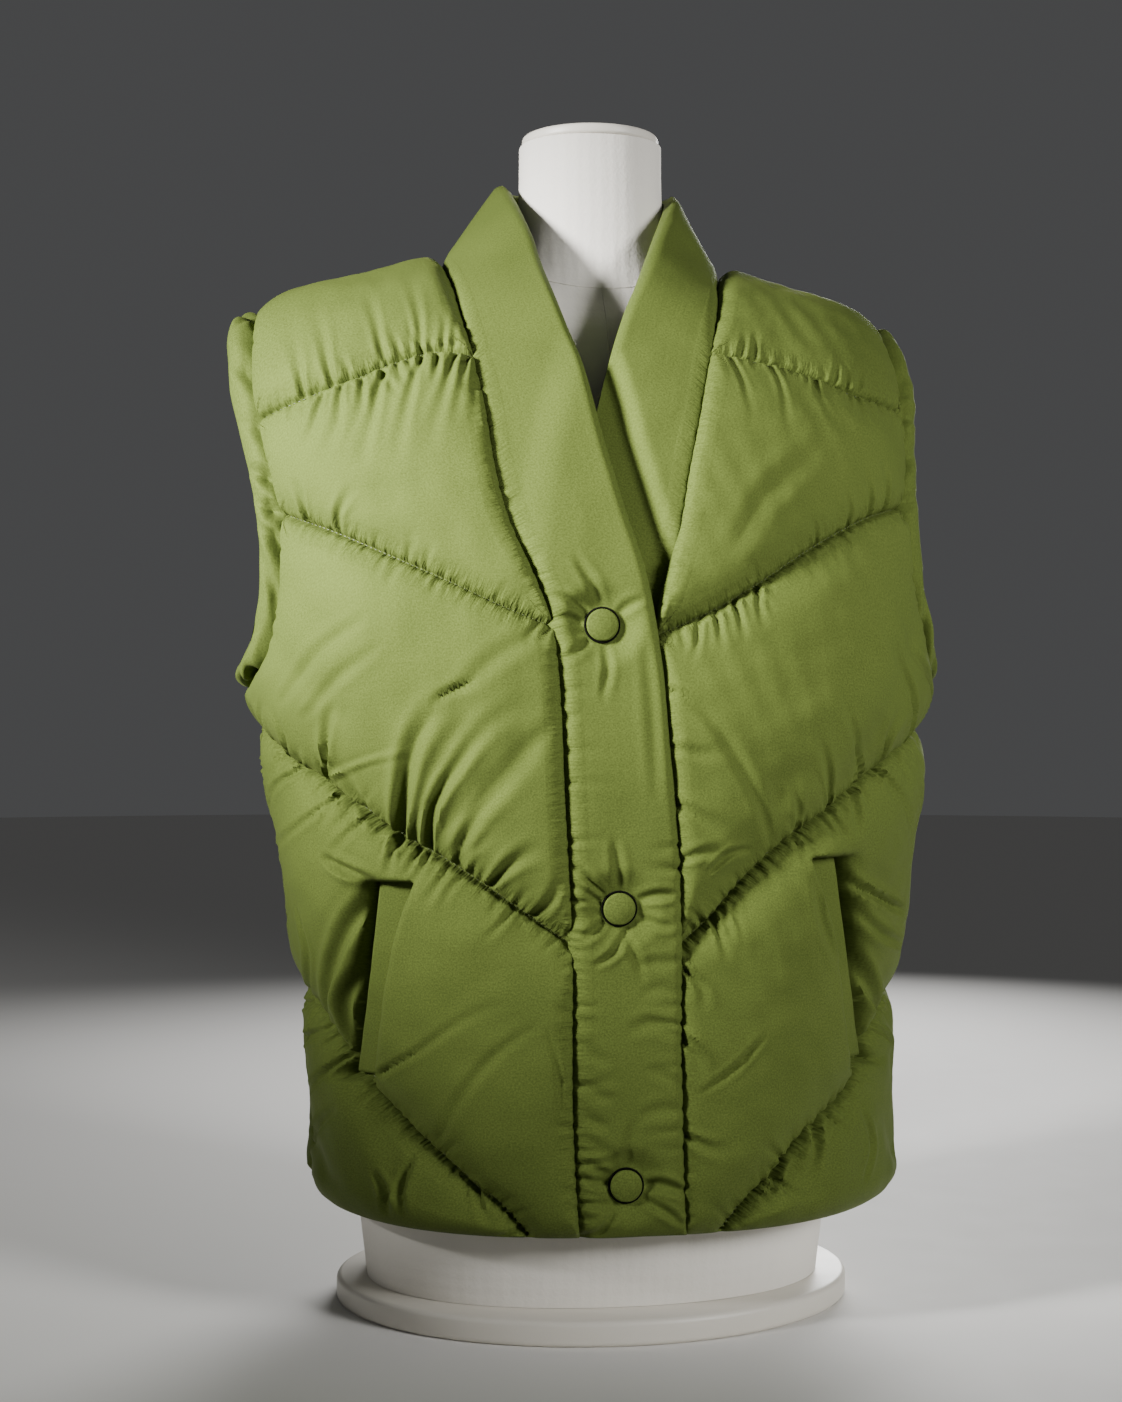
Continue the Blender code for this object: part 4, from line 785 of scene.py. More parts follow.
def band_normals(base, lies):
    """Outward directions of a band: the body's own at the seam, the band's further in."""
    along = np.gradient(base, axis=0)
    across = np.gradient(base, axis=1)
    along[0] = (1, 0, 0)
    own = unit(np.cross(along, across))
    away = base - np.array([COLLAR_X, 0.0, CORE_HEIGHT])
    own *= np.sign(np.sum(own * away, axis=-1, keepdims=True))
    body = body_normals(base)
    at_seam = np.repeat(body[:, :1], base.shape[1], axis=1)
    share = smooth_step(np.linspace(0, 1, base.shape[1]) / BAND_TURN)[None, :, None]
    free = at_seam * (1 - share) + own * share
    return unit(free * (1 - lies[:, None, None]) + body * lies[:, None, None])


def trim_band(base):
    """Moves a band's seam edge and its end at the centre back in by half a seam gap."""
    base = base.copy()
    base[:, 0] += unit(base[:, 1] - base[:, 0]) * SEAM_GAP / 2
    base[0] += unit(base[1] - base[0]) * SEAM_GAP / 2
    return base


# ---- the camera's sight lines
IMAGE = (1122, 1402)  # the frame's width and height in pixels
FOCAL = 2230.0  # focal length in the same pixels
SENSOR = 24.0
DISTANCE = 1.65
TURN = radians(-8.0)  # the camera stands a little to the wearer's right
AIM = (592.0, 0.435)  # column of the body's axis, and height of the level sight line
AHEAD = np.array([-sin(TURN), cos(TURN), 0.0])
ASIDE = np.array([cos(TURN), sin(TURN), 0.0])
EYE = (np.array([0.0, 0.0, AIM[1]]) - DISTANCE * AHEAD
       - (AIM[0] - IMAGE[0] / 2) * DISTANCE / FOCAL * ASIDE)
SIGHT = np.linspace(DISTANCE - 0.30, DISTANCE + 0.25, 220)  # steps of a sight line
SIGHT_SKIN = 0.004  # it ends this far outside the body's skin, in the padding


def seen(spots):
    """Points of the body's skin behind spots of the camera's frame, right and down in pixels."""
    rays = unit(AHEAD * FOCAL + ASIDE * (spots[:, :1] - IMAGE[0] / 2)
                - np.array([0, 0, 1]) * (spots[:, 1:] - IMAGE[1] / 2))
    depth = np.stack([body_depth(EYE + rays * reach) for reach in SIGHT])
    inside = depth < SIGHT_SKIN
    first = np.where(inside.any(axis=0), inside.argmax(axis=0), depth.argmin(axis=0))
    return on_body(EYE + rays * SIGHT[first][:, None])


# ---- creases and puckers
RIDGE = 0.42  # the cloth swells beside a crease by this share of its depth
RIDGE_AT = 1.75  # the ridge's middle and width, in half widths of the valley
RIDGE_WIDE = 0.85
PINCH = 0.5  # share of a wide crease's valley that is a sharp pinch
PINCH_FROM = 0.0034  # half width at which that share begins
PINCH_OVER = 0.0014
PINCH_SHARP = 1.7
NARROWEST = 0.0021  # half width of a gather, so that the mesh can follow it
DEEPER = 1.5  # the listed depths are those of the valleys alone

# A crease that starts at a seam: its width there and what it gains, the share of its run over
# which it starts and how deep it is at the seam, and how much deeper it is in its first part.
FROM_SEAM = (0.6, 0.8, 0.05, 0.5, 0.7)
FREE_WIDE = (0.75, 0.25)  # width of a free crease at its ends, and what it gains at mid run
FREE_FADE = 0.65

# How gathers differ: the least of each size, and the most that chance adds to it.
GATHER_LONG = (0.35, 1.3)
GATHER_DEEP = (0.4, 0.8)
GATHER_WIDE = (0.17, 0.12)  # as shares of the spacing
GATHER_STEP = (0.55, 0.9)
GATHER_LEAN = 0.45  # radians, in all
GATHER_BEND = 0.15  # share of the length, in all
SHORT_DEEP = 0.4  # a shorter gather is shallower by this power of its length


def crease_profile(x, half_width):
    """Section of a crease: a valley between two soft ridges, pinched where it is wide."""
    pinch = PINCH * np.clip((half_width - PINCH_FROM) / PINCH_OVER, 0, 1)
    valley = (1 - pinch) * np.exp(-x * x) + pinch * np.exp(-PINCH_SHARP * x)
    return RIDGE * np.exp(-((x - RIDGE_AT) / RIDGE_WIDE) ** 2) - valley


def press(points, field, path, half_width, depth, from_seam):
    """Adds one crease along a path to a field of heights."""
    margin = half_width * 4
    low, high = path.min(axis=0) - margin, path.max(axis=0) + margin
    mask = np.all((points > low) & (points < high), axis=-1)
    near = points[mask]
    if not len(near):
        return
    along, away = follow(near, path)
    along = along / lengths(path)[-1]
    if from_seam:
        thin, gain, start, shallow, more = FROM_SEAM
        wide = np.maximum(half_width * (thin + gain * along), NARROWEST)
        fade = np.minimum(along / start + shallow, 1) * (1 - along) * (1 + more * (1 - along))
    else:
        wide = half_width * (FREE_WIDE[0] + FREE_WIDE[1] * np.sin(pi * along))
        fade = np.sin(pi * np.clip(along, 0, 1)) ** FREE_FADE
    field[mask] += depth * fade * crease_profile(away / wide, half_width)


def puckers(curve, rng, spacing, long, depth):
    """Short gathers that run off a stitch line to both sides of it."""
    def vary(bounds, power=1):
        return bounds[0] + bounds[1] * rng.random() ** power

    found = []
    run = lengths(curve)
    normals = body_normals(curve)
    tangents = unit(np.gradient(curve, axis=0))
    across = np.cross(normals, tangents)
    for side in (-1, 1):
        s = spacing * rng.random()
        while s < run[-1]:
            k = min(np.searchsorted(run, s), len(run) - 1)
            lean = GATHER_LEAN * (rng.random() - 0.5)
            size = long * vary(GATHER_LONG, 2)
            way = unit(across[k] * side * cos(lean) + tangents[k] * sin(lean))
            bend = tangents[k] * size * GATHER_BEND * (rng.random() - 0.5)
            path = np.stack([curve[k], curve[k] + way * size / 2 + bend, curve[k] + way * size])
            deep = depth * vary(GATHER_DEEP) * (size / long) ** SHORT_DEEP
            wide = max(spacing * vary(GATHER_WIDE), NARROWEST)
            found.append((path, wide, deep, True))
            s += spacing * vary(GATHER_STEP)
    return found


SWELL_WAVES = 14
SWELL_SIZES = (0.7, 0.8)  # shares of the given size: the least, and what chance adds
SWELL_PEAK = 1.4  # times the usual height of the waves' sum


def swell(points, size, rng):
    """Soft uneven swell of about the given size, from -1 to 1."""
    total = np.zeros(points.shape[:-1])
    for _ in range(SWELL_WAVES):
        way = unit(rng.normal(size=3))
        wave = size * (SWELL_SIZES[0] + SWELL_SIZES[1] * rng.random())
        total += np.sin(points @ way * 2 * pi / wave + 2 * pi * rng.random())
    return np.clip(total / SWELL_WAVES ** 0.5 / SWELL_PEAK, -1, 1)


# Creases of the right front: half width and depth in mm, 1 if it starts at a stitch line and
# 0 if it fades at both ends, and its way in the camera's frame, right and down by turns.
RIGHT_CREASES = [
    (5.0, 5.2, 1, 404, 840, 413, 790, 421, 745, 440, 708, 470, 690),
    (4.0, 3.4, 1, 431, 846, 441, 800, 461, 762, 492, 722, 530, 700),
    (5.0, 2.4, 1, 458, 864, 478, 815, 508, 780, 552, 742),
    (6.0, 1.4, 0, 448, 830, 498, 778, 556, 716),
    (4.0, 3.4, 1, 490, 884, 516, 856, 545, 840),
    (4.5, 3.2, 1, 380, 818, 364, 788, 354, 760, 350, 735),
    (3.0, 3.2, 1, 338, 776, 341, 745, 345, 715, 353, 688),
    (2.4, 2.2, 1, 306, 756, 304, 725, 298, 700),
    (2.4, 2.0, 1, 287, 740, 283, 715, 290, 695),
    (2.2, -1.2, 1, 346, 772, 395, 752, 432, 746),
    (2.4, 2.2, 0, 436, 702, 455, 691, 480, 680),
    (3.6, 2.0, 1, 530, 918, 552, 890, 562, 860),
    (3.0, 2.2, 1, 316, 762, 296, 785, 280, 812),
    (2.8, 1.5, 1, 350, 790, 326, 815, 302, 850),
    (2.8, 1.5, 1, 376, 812, 360, 835, 346, 862),
    (5.0, 5.4, 0, 388, 880, 366, 922, 348, 975, 342, 1022),
    (3.6, 4.0, 0, 376, 955, 362, 995, 362, 1036),
    (3.4, 3.6, 0, 345, 850, 372, 868, 392, 876),
    (2.2, 2.4, 1, 404, 836, 399, 854, 402, 872),
    (2.0, 2.6, 1, 426, 846, 418, 858, 417, 872),
    (3.0, 2.0, 0, 300, 880, 312, 925, 306, 962),
    (3.0, 1.8, 0, 324, 900, 332, 950, 326, 1000),
    (2.6, 1.6, 1, 396, 1068, 430, 1045, 472, 1012, 520, 992),
    (3.4, 1.3, 0, 438, 1160, 468, 1092, 508, 1040, 540, 1018),
    (2.2, 1.2, 0, 545, 1020, 556, 1060, 560, 1110),
    (3.0, 2.2, 1, 360, 1052, 344, 1076, 330, 1100),
    (3.4, 2.4, 0, 330, 1160, 344, 1125, 362, 1104),
    (2.6, 3.0, 0, 392, 1166, 402, 1190, 400, 1212),
    (2.8, 3.0, 0, 424, 1150, 414, 1180, 416, 1212),
    (2.4, 2.4, 1, 478, 1182, 484, 1204, 494, 1226),
    (3.0, 3.0, 0, 322, 1038, 336, 1029, 352, 1021),
    (2.8, 1.6, 1, 330, 1000, 321, 1008, 314, 1020),
    (3.4, 1.3, 1, 334, 406, 330, 432, 322, 462),
    (3.2, 1.2, 1, 350, 398, 350, 430, 342, 466),
    (3.6, 1.6, 1, 390, 382, 380, 425, 372, 480),
    (3.0, 1.2, 1, 368, 390, 369, 425, 363, 452),
    (3.4, 1.3, 1, 424, 372, 414, 415, 404, 478),
    (2.8, 1.1, 1, 441, 369, 437, 396, 430, 420),
    (3.4, 1.3, 1, 458, 368, 446, 410, 432, 462),
    (3.2, 1.2, 1, 468, 368, 464, 405, 456, 440),
    (3.6, 1.4, 1, 476, 372, 475, 412, 470, 452),
    (3.2, 1.1, 1, 316, 404, 310, 375, 300, 345),
    (3.2, 1.1, 1, 340, 396, 334, 365, 322, 330),
    (3.2, 1.0, 1, 388, 378, 382, 348, 372, 318),
    (2.8, 1.0, 1, 425, 370, 424, 340, 418, 305),
    (2.6, 2.2, 1, 320, 522, 317, 500, 312, 480),
    (2.6, 1.8, 1, 345, 532, 352, 512, 366, 490),
    (4.5, 1.2, 0, 305, 700, 340, 650, 380, 618),
    (5.5, 1.1, 0, 455, 700, 500, 655, 552, 628),
    (4.0, 1.0, 0, 322, 716, 352, 676, 392, 646),
]

# The same for the left front.
LEFT_CREASES = [
    (4.0, 1.2, 0, 690, 700, 726, 756, 754, 812, 764, 850),
    (3.0, 2.0, 1, 822, 808, 812, 765, 800, 722),
    (2.6, 1.8, 1, 851, 780, 838, 742, 822, 692),
    (3.0, 2.6, 1, 868, 764, 870, 735, 880, 700),
    (3.0, 2.2, 1, 888, 745, 888, 700, 874, 660, 850, 622),
    (3.0, 2.2, 1, 905, 722, 904, 690, 888, 652, 872, 605),
    (2.6, 1.6, 1, 790, 832, 786, 800, 776, 770),
    (4.4, 2.4, 1, 670, 800, 692, 816, 716, 832),
    (3.6, 1.6, 1, 672, 858, 700, 848, 730, 856),
    (3.6, 1.2, 1, 668, 745, 690, 752, 720, 750),
    (3.0, 1.2, 1, 666, 690, 684, 700, 706, 726),
    (2.2, 1.6, 1, 712, 614, 713, 634, 716, 654),
    (2.2, 1.8, 1, 730, 602, 733, 624, 738, 644),
    (2.2, 1.6, 1, 750, 590, 752, 612, 756, 632),
    (2.0, 1.4, 1, 694, 622, 692, 642, 686, 664),
    (2.4, 2.0, 1, 856, 522, 852, 500, 842, 474),
    (2.4, 1.8, 1, 870, 514, 866, 492, 858, 462),
    (2.2, 1.4, 1, 838, 532, 834, 512, 824, 492),
    (2.4, 0.8, 1, 722, 372, 734, 405, 742, 440),
    (2.4, 0.7, 1, 760, 380, 770, 410, 776, 448),
    (2.4, 0.7, 1, 800, 392, 806, 415, 822, 440),
    (2.4, 0.7, 1, 842, 408, 846, 430, 858, 450),
    (7.0, 1.0, 0, 722, 560, 756, 500, 810, 452),
    (3.0, 4.2, 0, 824, 850, 838, 880, 856, 893, 876, 908),
    (2.6, 2.2, 1, 846, 784, 842, 806, 838, 836),
    (2.4, 2.0, 1, 868, 768, 880, 800, 884, 846),
    (4.2, 5.2, 0, 832, 936, 848, 970, 860, 1012),
    (3.2, 3.0, 0, 836, 900, 852, 925, 872, 940),
    (2.6, 2.6, 0, 855, 1018, 870, 1050, 886, 1092),
    (3.4, 1.6, 0, 890, 760, 896, 810, 888, 860),
    (2.2, 1.4, 0, 690, 1090, 722, 1064, 752, 1028),
    (2.4, 2.2, 1, 708, 914, 715, 936, 718, 960),
    (2.0, -1.2, 1, 722, 902, 727, 925, 728, 948),
    (3.4, 1.4, 0, 796, 870, 806, 920, 822, 970),
    (3.4, 3.2, 1, 676, 1030, 690, 1050, 694, 1080),
    (3.4, 2.6, 1, 680, 1130, 700, 1142, 722, 1146),
    (3.0, 2.4, 1, 680, 965, 694, 985, 694, 1010),
    (3.0, 2.8, 1, 806, 1120, 803, 1150, 796, 1180),
    (2.8, 2.2, 1, 775, 1158, 764, 1184, 760, 1210),
    (2.8, 1.8, 0, 840, 1105, 846, 1140, 838, 1180),
    (2.4, 1.8, 0, 868, 1110, 874, 1140, 870, 1180),
    (2.6, 2.0, 1, 874, 986, 866, 1004, 858, 1016),
    (2.6, 1.6, 0, 700, 870, 722, 850, 744, 846),
]

# Creases of the over band in the camera's frame.
BAND_CREASES = [
    (2.0, 2.2, 0, 552, 598, 570, 604, 588, 618),
    (1.8, 1.6, 0, 556, 616, 572, 622, 586, 626),
    (2.0, 1.8, 0, 562, 662, 576, 650, 590, 640),
    (2.2, 1.4, 0, 612, 618, 628, 606, 640, 602),
    (2.4, 1.4, 0, 600, 612, 588, 585, 570, 560),
    (2.2, 1.3, 0, 602, 642, 604, 668, 598, 700),
    (1.8, 2.8, 0, 574, 862, 588, 878, 604, 896),
    (1.8, 2.2, 0, 576, 884, 588, 892, 602, 902),
    (2.0, 2.0, 0, 580, 938, 590, 928, 604, 918),
    (2.4, 2.4, 0, 634, 898, 650, 892, 672, 891),
    (2.2, 1.6, 0, 634, 912, 650, 920, 672, 924),
    (2.6, 1.8, 0, 617, 890, 614, 866, 610, 836),
    (2.4, 1.5, 0, 622, 924, 630, 950, 640, 975),
    (2.0, 2.0, 0, 626, 925, 606, 952, 590, 962),
    (2.4, 3.4, 0, 584, 1176, 596, 1178, 610, 1180),
    (2.2, 2.6, 0, 586, 1160, 598, 1168, 612, 1174),
    (2.6, 3.4, 0, 638, 1184, 656, 1180, 682, 1190),
    (2.2, 2.0, 0, 640, 1196, 660, 1206, 680, 1222),
    (2.2, 1.8, 0, 616, 1198, 606, 1216, 592, 1230),
    (3.1, 1.1, 0, 624, 1168, 626, 1140, 632, 1112),
    (3.1, 1.3, 0, 574, 1046, 590, 1050, 606, 1060),
    (2.9, 1.4, 0, 577, 1078, 592, 1088, 612, 1096),
    (2.9, 1.4, 0, 580, 1108, 594, 1118, 606, 1122),
    (2.9, 1.3, 0, 582, 1132, 598, 1144, 612, 1146),
    (3.4, 1.3, 0, 622, 1026, 650, 1020, 674, 1034),
    (3.1, 1.1, 0, 634, 1112, 654, 1104, 680, 1100),
    (2.9, 1.0, 0, 640, 1064, 660, 1070, 678, 1084),
    (2.9, 0.9, 0, 632, 962, 652, 958, 676, 962),
    (2.9, 0.8, 0, 636, 990, 656, 984, 678, 996),
    (3.2, 1.0, 0, 640, 640, 648, 720, 652, 800),
]


def placed(creases):
    """Crease paths on the body from a list of creases in the camera's frame."""
    found = []
    for half_width, depth, from_seam, *spots in creases:
        path = smooth_path(seen(np.reshape(spots, (-1, 2))), POINTS_ALONG["crease"])
        deep = depth / 1000 * DEEPER * sizes().crease_depth
        found.append((path, half_width / 1000, deep, bool(from_seam)))
    return found


def press_all(points, creases):
    field = np.zeros(points.shape[:-1])
    for path, half_width, depth, from_seam in creases:
        press(points, field, path, half_width, depth, from_seam)
    return field


# ---- finishes
# sRGB colours of the real things, and the near-black of the painted shade ring round each snap
# cap.
GREEN = "525E2C"
GREEN_DARK = "444F24"
GREEN_GLOSS = "A3B545"
GREEN_SHEEN = "B9C66C"
CANVAS = "E9E5DC"
CANVAS_DULL = "DDD8CE"
THREAD = "3B451C"
# Painted shade: the near-black of a matt ring drawn round each snap cap as the shadow line at its
# edge.
CAP_SHADOW_RING = "0A0B06"
PAINT = "D9D4C8"
FLOOR = "E6E4E0"
STUDIO = "D8D9DB"

# Sizes of the patterns in mm, and scales of the soft patches, in patches to a metre.
WEAVE_PITCH = 1.3  # the real yarns are 0.3 mm apart and would not show
WEAVE_GRAIN = 1.3  # the yarns' uneven dye, drawn coarse enough to show
CRUMPLE_SIZE = 16.0
TEETH = (3.2, 14.0)  # the finest gathers beside a line of stitches, wide and long
CANVAS_PITCH = 1.4  # the real threads are 0.5 mm apart and would not show
BLOTCHES = 14.0
CANVAS_PATCHES = 9.0
SLUBS = 420.0
WAVE_TURNS = 20  # a wave texture at scale 1 has this many bands in a metre

# Heights of the bumps and where the finest gathers fade, in m.
TEETH_DEEP = 0.0020
TEETH_FADE = (0.0004, 0.013)
WEAVE_DEEP = 0.00012
CRUMPLE_DEEP = 0.0006
CANVAS_DEEP = 0.0004

# Inputs of a colour mix, whose colour comes out at MIXED.
FACTOR, FIRST, SECOND, MIXED = 0, 6, 7, 2


def linear(code):
    """An sRGB hex colour as linear red, green, blue and alpha."""
    values = [int(code[k:k + 2], 16) / 255 for k in (0, 2, 4)]
    return (*[v / 12.92 if v <= 0.04045 else ((v + 0.055) / 1.055) ** 2.4 for v in values], 1.0)


def add_node(material, kind, settings=None, links=None):
    """Adds a shader node; settings and links go to its inputs by name or number."""
    tree = material.node_tree
    node = tree.nodes.new("ShaderNode" + kind)
    for key, value in (settings or {}).items():
        if isinstance(key, str) and hasattr(node, key):
            setattr(node, key, value)
        else:
            node.inputs[key].default_value = value
    for key, output in (links or {}).items():
        tree.links.new(output, node.inputs[key])
    return node


def new_material(name, settings):
    """A material whose shader has the given settings."""
    material = bpy.data.materials.new(name)
    material.use_nodes = True
    shader = material.node_tree.nodes["Principled BSDF"]
    for key, value in settings.items():
        shader.inputs[key].default_value = value
    return material


def feed(material, name, output):
    """Links a node's output to an input of the material's shader."""
    tree = material.node_tree
    tree.links.new(output, tree.nodes["Principled BSDF"].inputs[name])


def taffeta(name, colour, dark):
    """Dyed nylon taffeta, plain woven: a broad satin sheen, a heathered grain and crumples."""
    material = new_material(name, {
        "Base Color": colour, "Roughness": 0.66, "Specular IOR Level": 0.30,
        "Specular Tint": linear(GREEN_GLOSS), "Sheen Weight": 0.06, "Sheen Roughness": 0.35,
        "Sheen Tint": linear(GREEN_SHEEN)})
    place = add_node(material, "TexCoord").outputs["Object"]
    weave = add_node(material, "Attribute", {"attribute_name": "weave"})
    weave = weave.outputs["Vector"]
    blotch = add_node(material, "TexNoise",
                      {"Scale": BLOTCHES, "Detail": 3.0}, {"Vector": place})
    grain = add_node(material, "TexNoise",
                     {"Scale": 1000 / WEAVE_GRAIN, "Detail": 2.0, "Roughness": 0.7},
                     {"Vector": weave})
    tone = add_node(material, "Mix", {"data_type": "RGBA", FIRST: dark, SECOND: colour},
                    {FACTOR: blotch.outputs["Fac"]})
    speckle = add_node(material, "MapRange",
                       {"From Min": 0.3, "From Max": 0.7, "To Min": 0.72, "To Max": 1.28},
                       {"Value": grain.outputs["Fac"]})
    shade = add_node(material, "Mix",
                     {"data_type": "RGBA", "blend_type": "MULTIPLY", FACTOR: 1.0},
                     {FIRST: tone.outputs[MIXED], SECOND: speckle.outputs[0]})
    feed(material, "Base Color", shade.outputs[MIXED])
    warp, weft = [add_node(material, "TexWave",
                           {"bands_direction": way, "Distortion": 0.4,
                            "Scale": 1000 / WEAVE_PITCH / WAVE_TURNS}, {"Vector": weave})
                  for way in "XY"]
    threads = add_node(material, "Math", {"operation": "MULTIPLY"},
                       {0: warp.outputs["Fac"], 1: weft.outputs["Fac"]})
    crumple = add_node(material, "TexNoise",
                       {"Scale": 1000 / CRUMPLE_SIZE, "Detail": 4.0, "Roughness": 0.55,
                        "Distortion": 0.6}, {"Vector": place})
    gather = add_node(material, "Attribute", {"attribute_name": "gather"})
    gather = gather.outputs["Vector"]
    spaced = add_node(material, "VectorMath",
                      {"operation": "MULTIPLY", 1: (1000 / TEETH[0], 1000 / TEETH[1], 1.0)},
                      {0: gather})
    teeth = add_node(material, "TexNoise",
                     {"Scale": 1.0, "Detail": 2.0, "Roughness": 0.55, "Distortion": 0.3},
                     {"Vector": spaced.outputs[0]})
    parted = add_node(material, "SeparateXYZ", {}, {0: gather})
    fade = add_node(material, "MapRange",
                    {"From Min": TEETH_FADE[0], "From Max": TEETH_FADE[1], "To Min": 1.0,
                     "To Max": 0.0}, {"Value": parted.outputs["Y"]})
    height = add_node(material, "Math", {"operation": "MULTIPLY"},
                      {0: teeth.outputs["Fac"], 1: fade.outputs[0]})
    bump = add_node(material, "Bump", {"Strength": 1.0, "Distance": TEETH_DEEP},
                    {"Height": height.outputs[0]})
    for strength, depth, output in ((0.35, WEAVE_DEEP, threads.outputs[0]),
                                    (0.5, CRUMPLE_DEEP, crumple.outputs["Fac"])):
        bump = add_node(material, "Bump", {"Strength": strength, "Distance": depth},
                        {"Height": output, "Normal": bump.outputs["Normal"]})
    feed(material, "Normal", bump.outputs["Normal"])
    gloss = add_node(material, "MapRange", {"To Min": 0.58, "To Max": 0.74},
                     {"Value": grain.outputs["Fac"]})
    feed(material, "Roughness", gloss.outputs[0])
    return material


def canvas(colour):
    """Bleached cotton canvas glued over the form: matt, with a plain weave that just shows."""
    material = new_material("white_cotton_canvas", {
        "Base Color": colour, "Roughness": 0.88, "Specular IOR Level": 0.25})
    place = add_node(material, "TexCoord").outputs["Object"]
    patch = add_node(material, "TexNoise",
                     {"Scale": CANVAS_PATCHES, "Detail": 4.0}, {"Vector": place})
    tone = add_node(material, "Mix",
                    {"data_type": "RGBA", FIRST: linear(CANVAS_DULL), SECOND: colour},
                    {FACTOR: patch.outputs["Fac"]})
    feed(material, "Base Color", tone.outputs[MIXED])
    threads = [add_node(material, "TexWave",
                        {"bands_direction": way, "Distortion": 1.2, "Detail": 2.0,
                         "Scale": 1000 / CANVAS_PITCH / WAVE_TURNS}, {"Vector": place})
               for way in "XZY"]
    cross = threads[0].outputs["Fac"]
    for wave in threads[1:]:
        cross = add_node(material, "Math", {"operation": "ADD"},
                         {0: cross, 1: wave.outputs["Fac"]}).outputs[0]
    slub = add_node(material, "TexNoise",
                    {"Scale": SLUBS, "Detail": 3.0}, {"Vector": place})
    height = add_node(material, "Math", {"operation": "MULTIPLY_ADD", 1: 0.35},
                      {0: cross, 2: slub.outputs["Fac"]})
    bump = add_node(material, "Bump", {"Strength": 0.6, "Distance": CANVAS_DEEP},
                    {"Height": height.outputs[0]})
    feed(material, "Normal", bump.outputs["Normal"])
    return material


def plain_finish(name, colour, roughness, size_mm, depth, specular=0.5):
    """A plain surface with slight unevenness of the given size."""
    material = new_material(name, {
        "Base Color": colour, "Roughness": roughness, "Specular IOR Level": specular})
    place = add_node(material, "TexCoord").outputs["Object"]
    uneven = add_node(material, "TexNoise",
                      {"Scale": 1000 / size_mm, "Detail": 4.0, "Roughness": 0.6},
                      {"Vector": place})
    bump = add_node(material, "Bump", {"Strength": 0.4, "Distance": depth},
                    {"Height": uneven.outputs["Fac"]})
    feed(material, "Normal", bump.outputs["Normal"])
    gloss = add_node(material, "MapRange",
                     {"To Min": roughness - 0.06, "To Max": roughness + 0.08},
                     {"Value": uneven.outputs["Fac"]})
    feed(material, "Roughness", gloss.outputs[0])
    return material


PAINTS = {}  # the materials made so far


def paint(name):
    """The material of that name, made when it is first asked for."""
    if name not in PAINTS:
        made = colours()
        if name == "shell":
            PAINTS[name] = taffeta("green_nylon_taffeta", made.green, made.green_dark)
        elif name == "canvas":
            PAINTS[name] = canvas(made.canvas)
        else:
            PAINTS[name] = plain_finish(*{
                "thread": ("polyester_thread", linear(THREAD), 0.55, 0.5, 0.0001),
                # painted shade: the matt ring that draws the shadow line round each snap cap
                "ring": ("painted_cap_shadow_ring", linear(CAP_SHADOW_RING), 0.85, 2.0, 0.0001, 0.05),
                "board": ("satin_painted_wood", made.board, 0.42, 30.0, 0.0003),
                "floor": ("studio_floor", linear(FLOOR), 0.8, 40.0, 0.0002),
            }[name])
    return PAINTS[name]


# ---- making pieces
def settle(name, bm, material, sharp=55, nodes=()):
    """Turns a bmesh into a finished piece that rides on the frame."""
    mesh = bpy.data.meshes.new(name)
    bmesh.ops.translate(bm, vec=PLACE, verts=bm.verts)
    bm.to_mesh(mesh)
    bm.free()
    thing = bpy.data.objects.new(name, mesh)
    bpy.context.scene.collection.objects.link(thing)
    mesh.materials.append(paint(material))
    mesh.shade_smooth()
    mesh.set_sharp_from_angle(angle=radians(sharp))
    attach(thing, "root")
    if nodes:
        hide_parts(*nodes)
    return thing


def cloth_lengths(grid):
    """Distances along the cloth at every point of a grid: across it and up it."""
    across = np.linalg.norm(np.diff(grid, axis=1), axis=-1)
    up = np.linalg.norm(np.diff(grid, axis=0), axis=-1)
    across = np.concatenate([np.zeros((grid.shape[0], 1)), np.cumsum(across, axis=1)], axis=1)
    up = np.concatenate([np.zeros((1, grid.shape[1])), np.cumsum(up, axis=0)], axis=0)
    return across, up


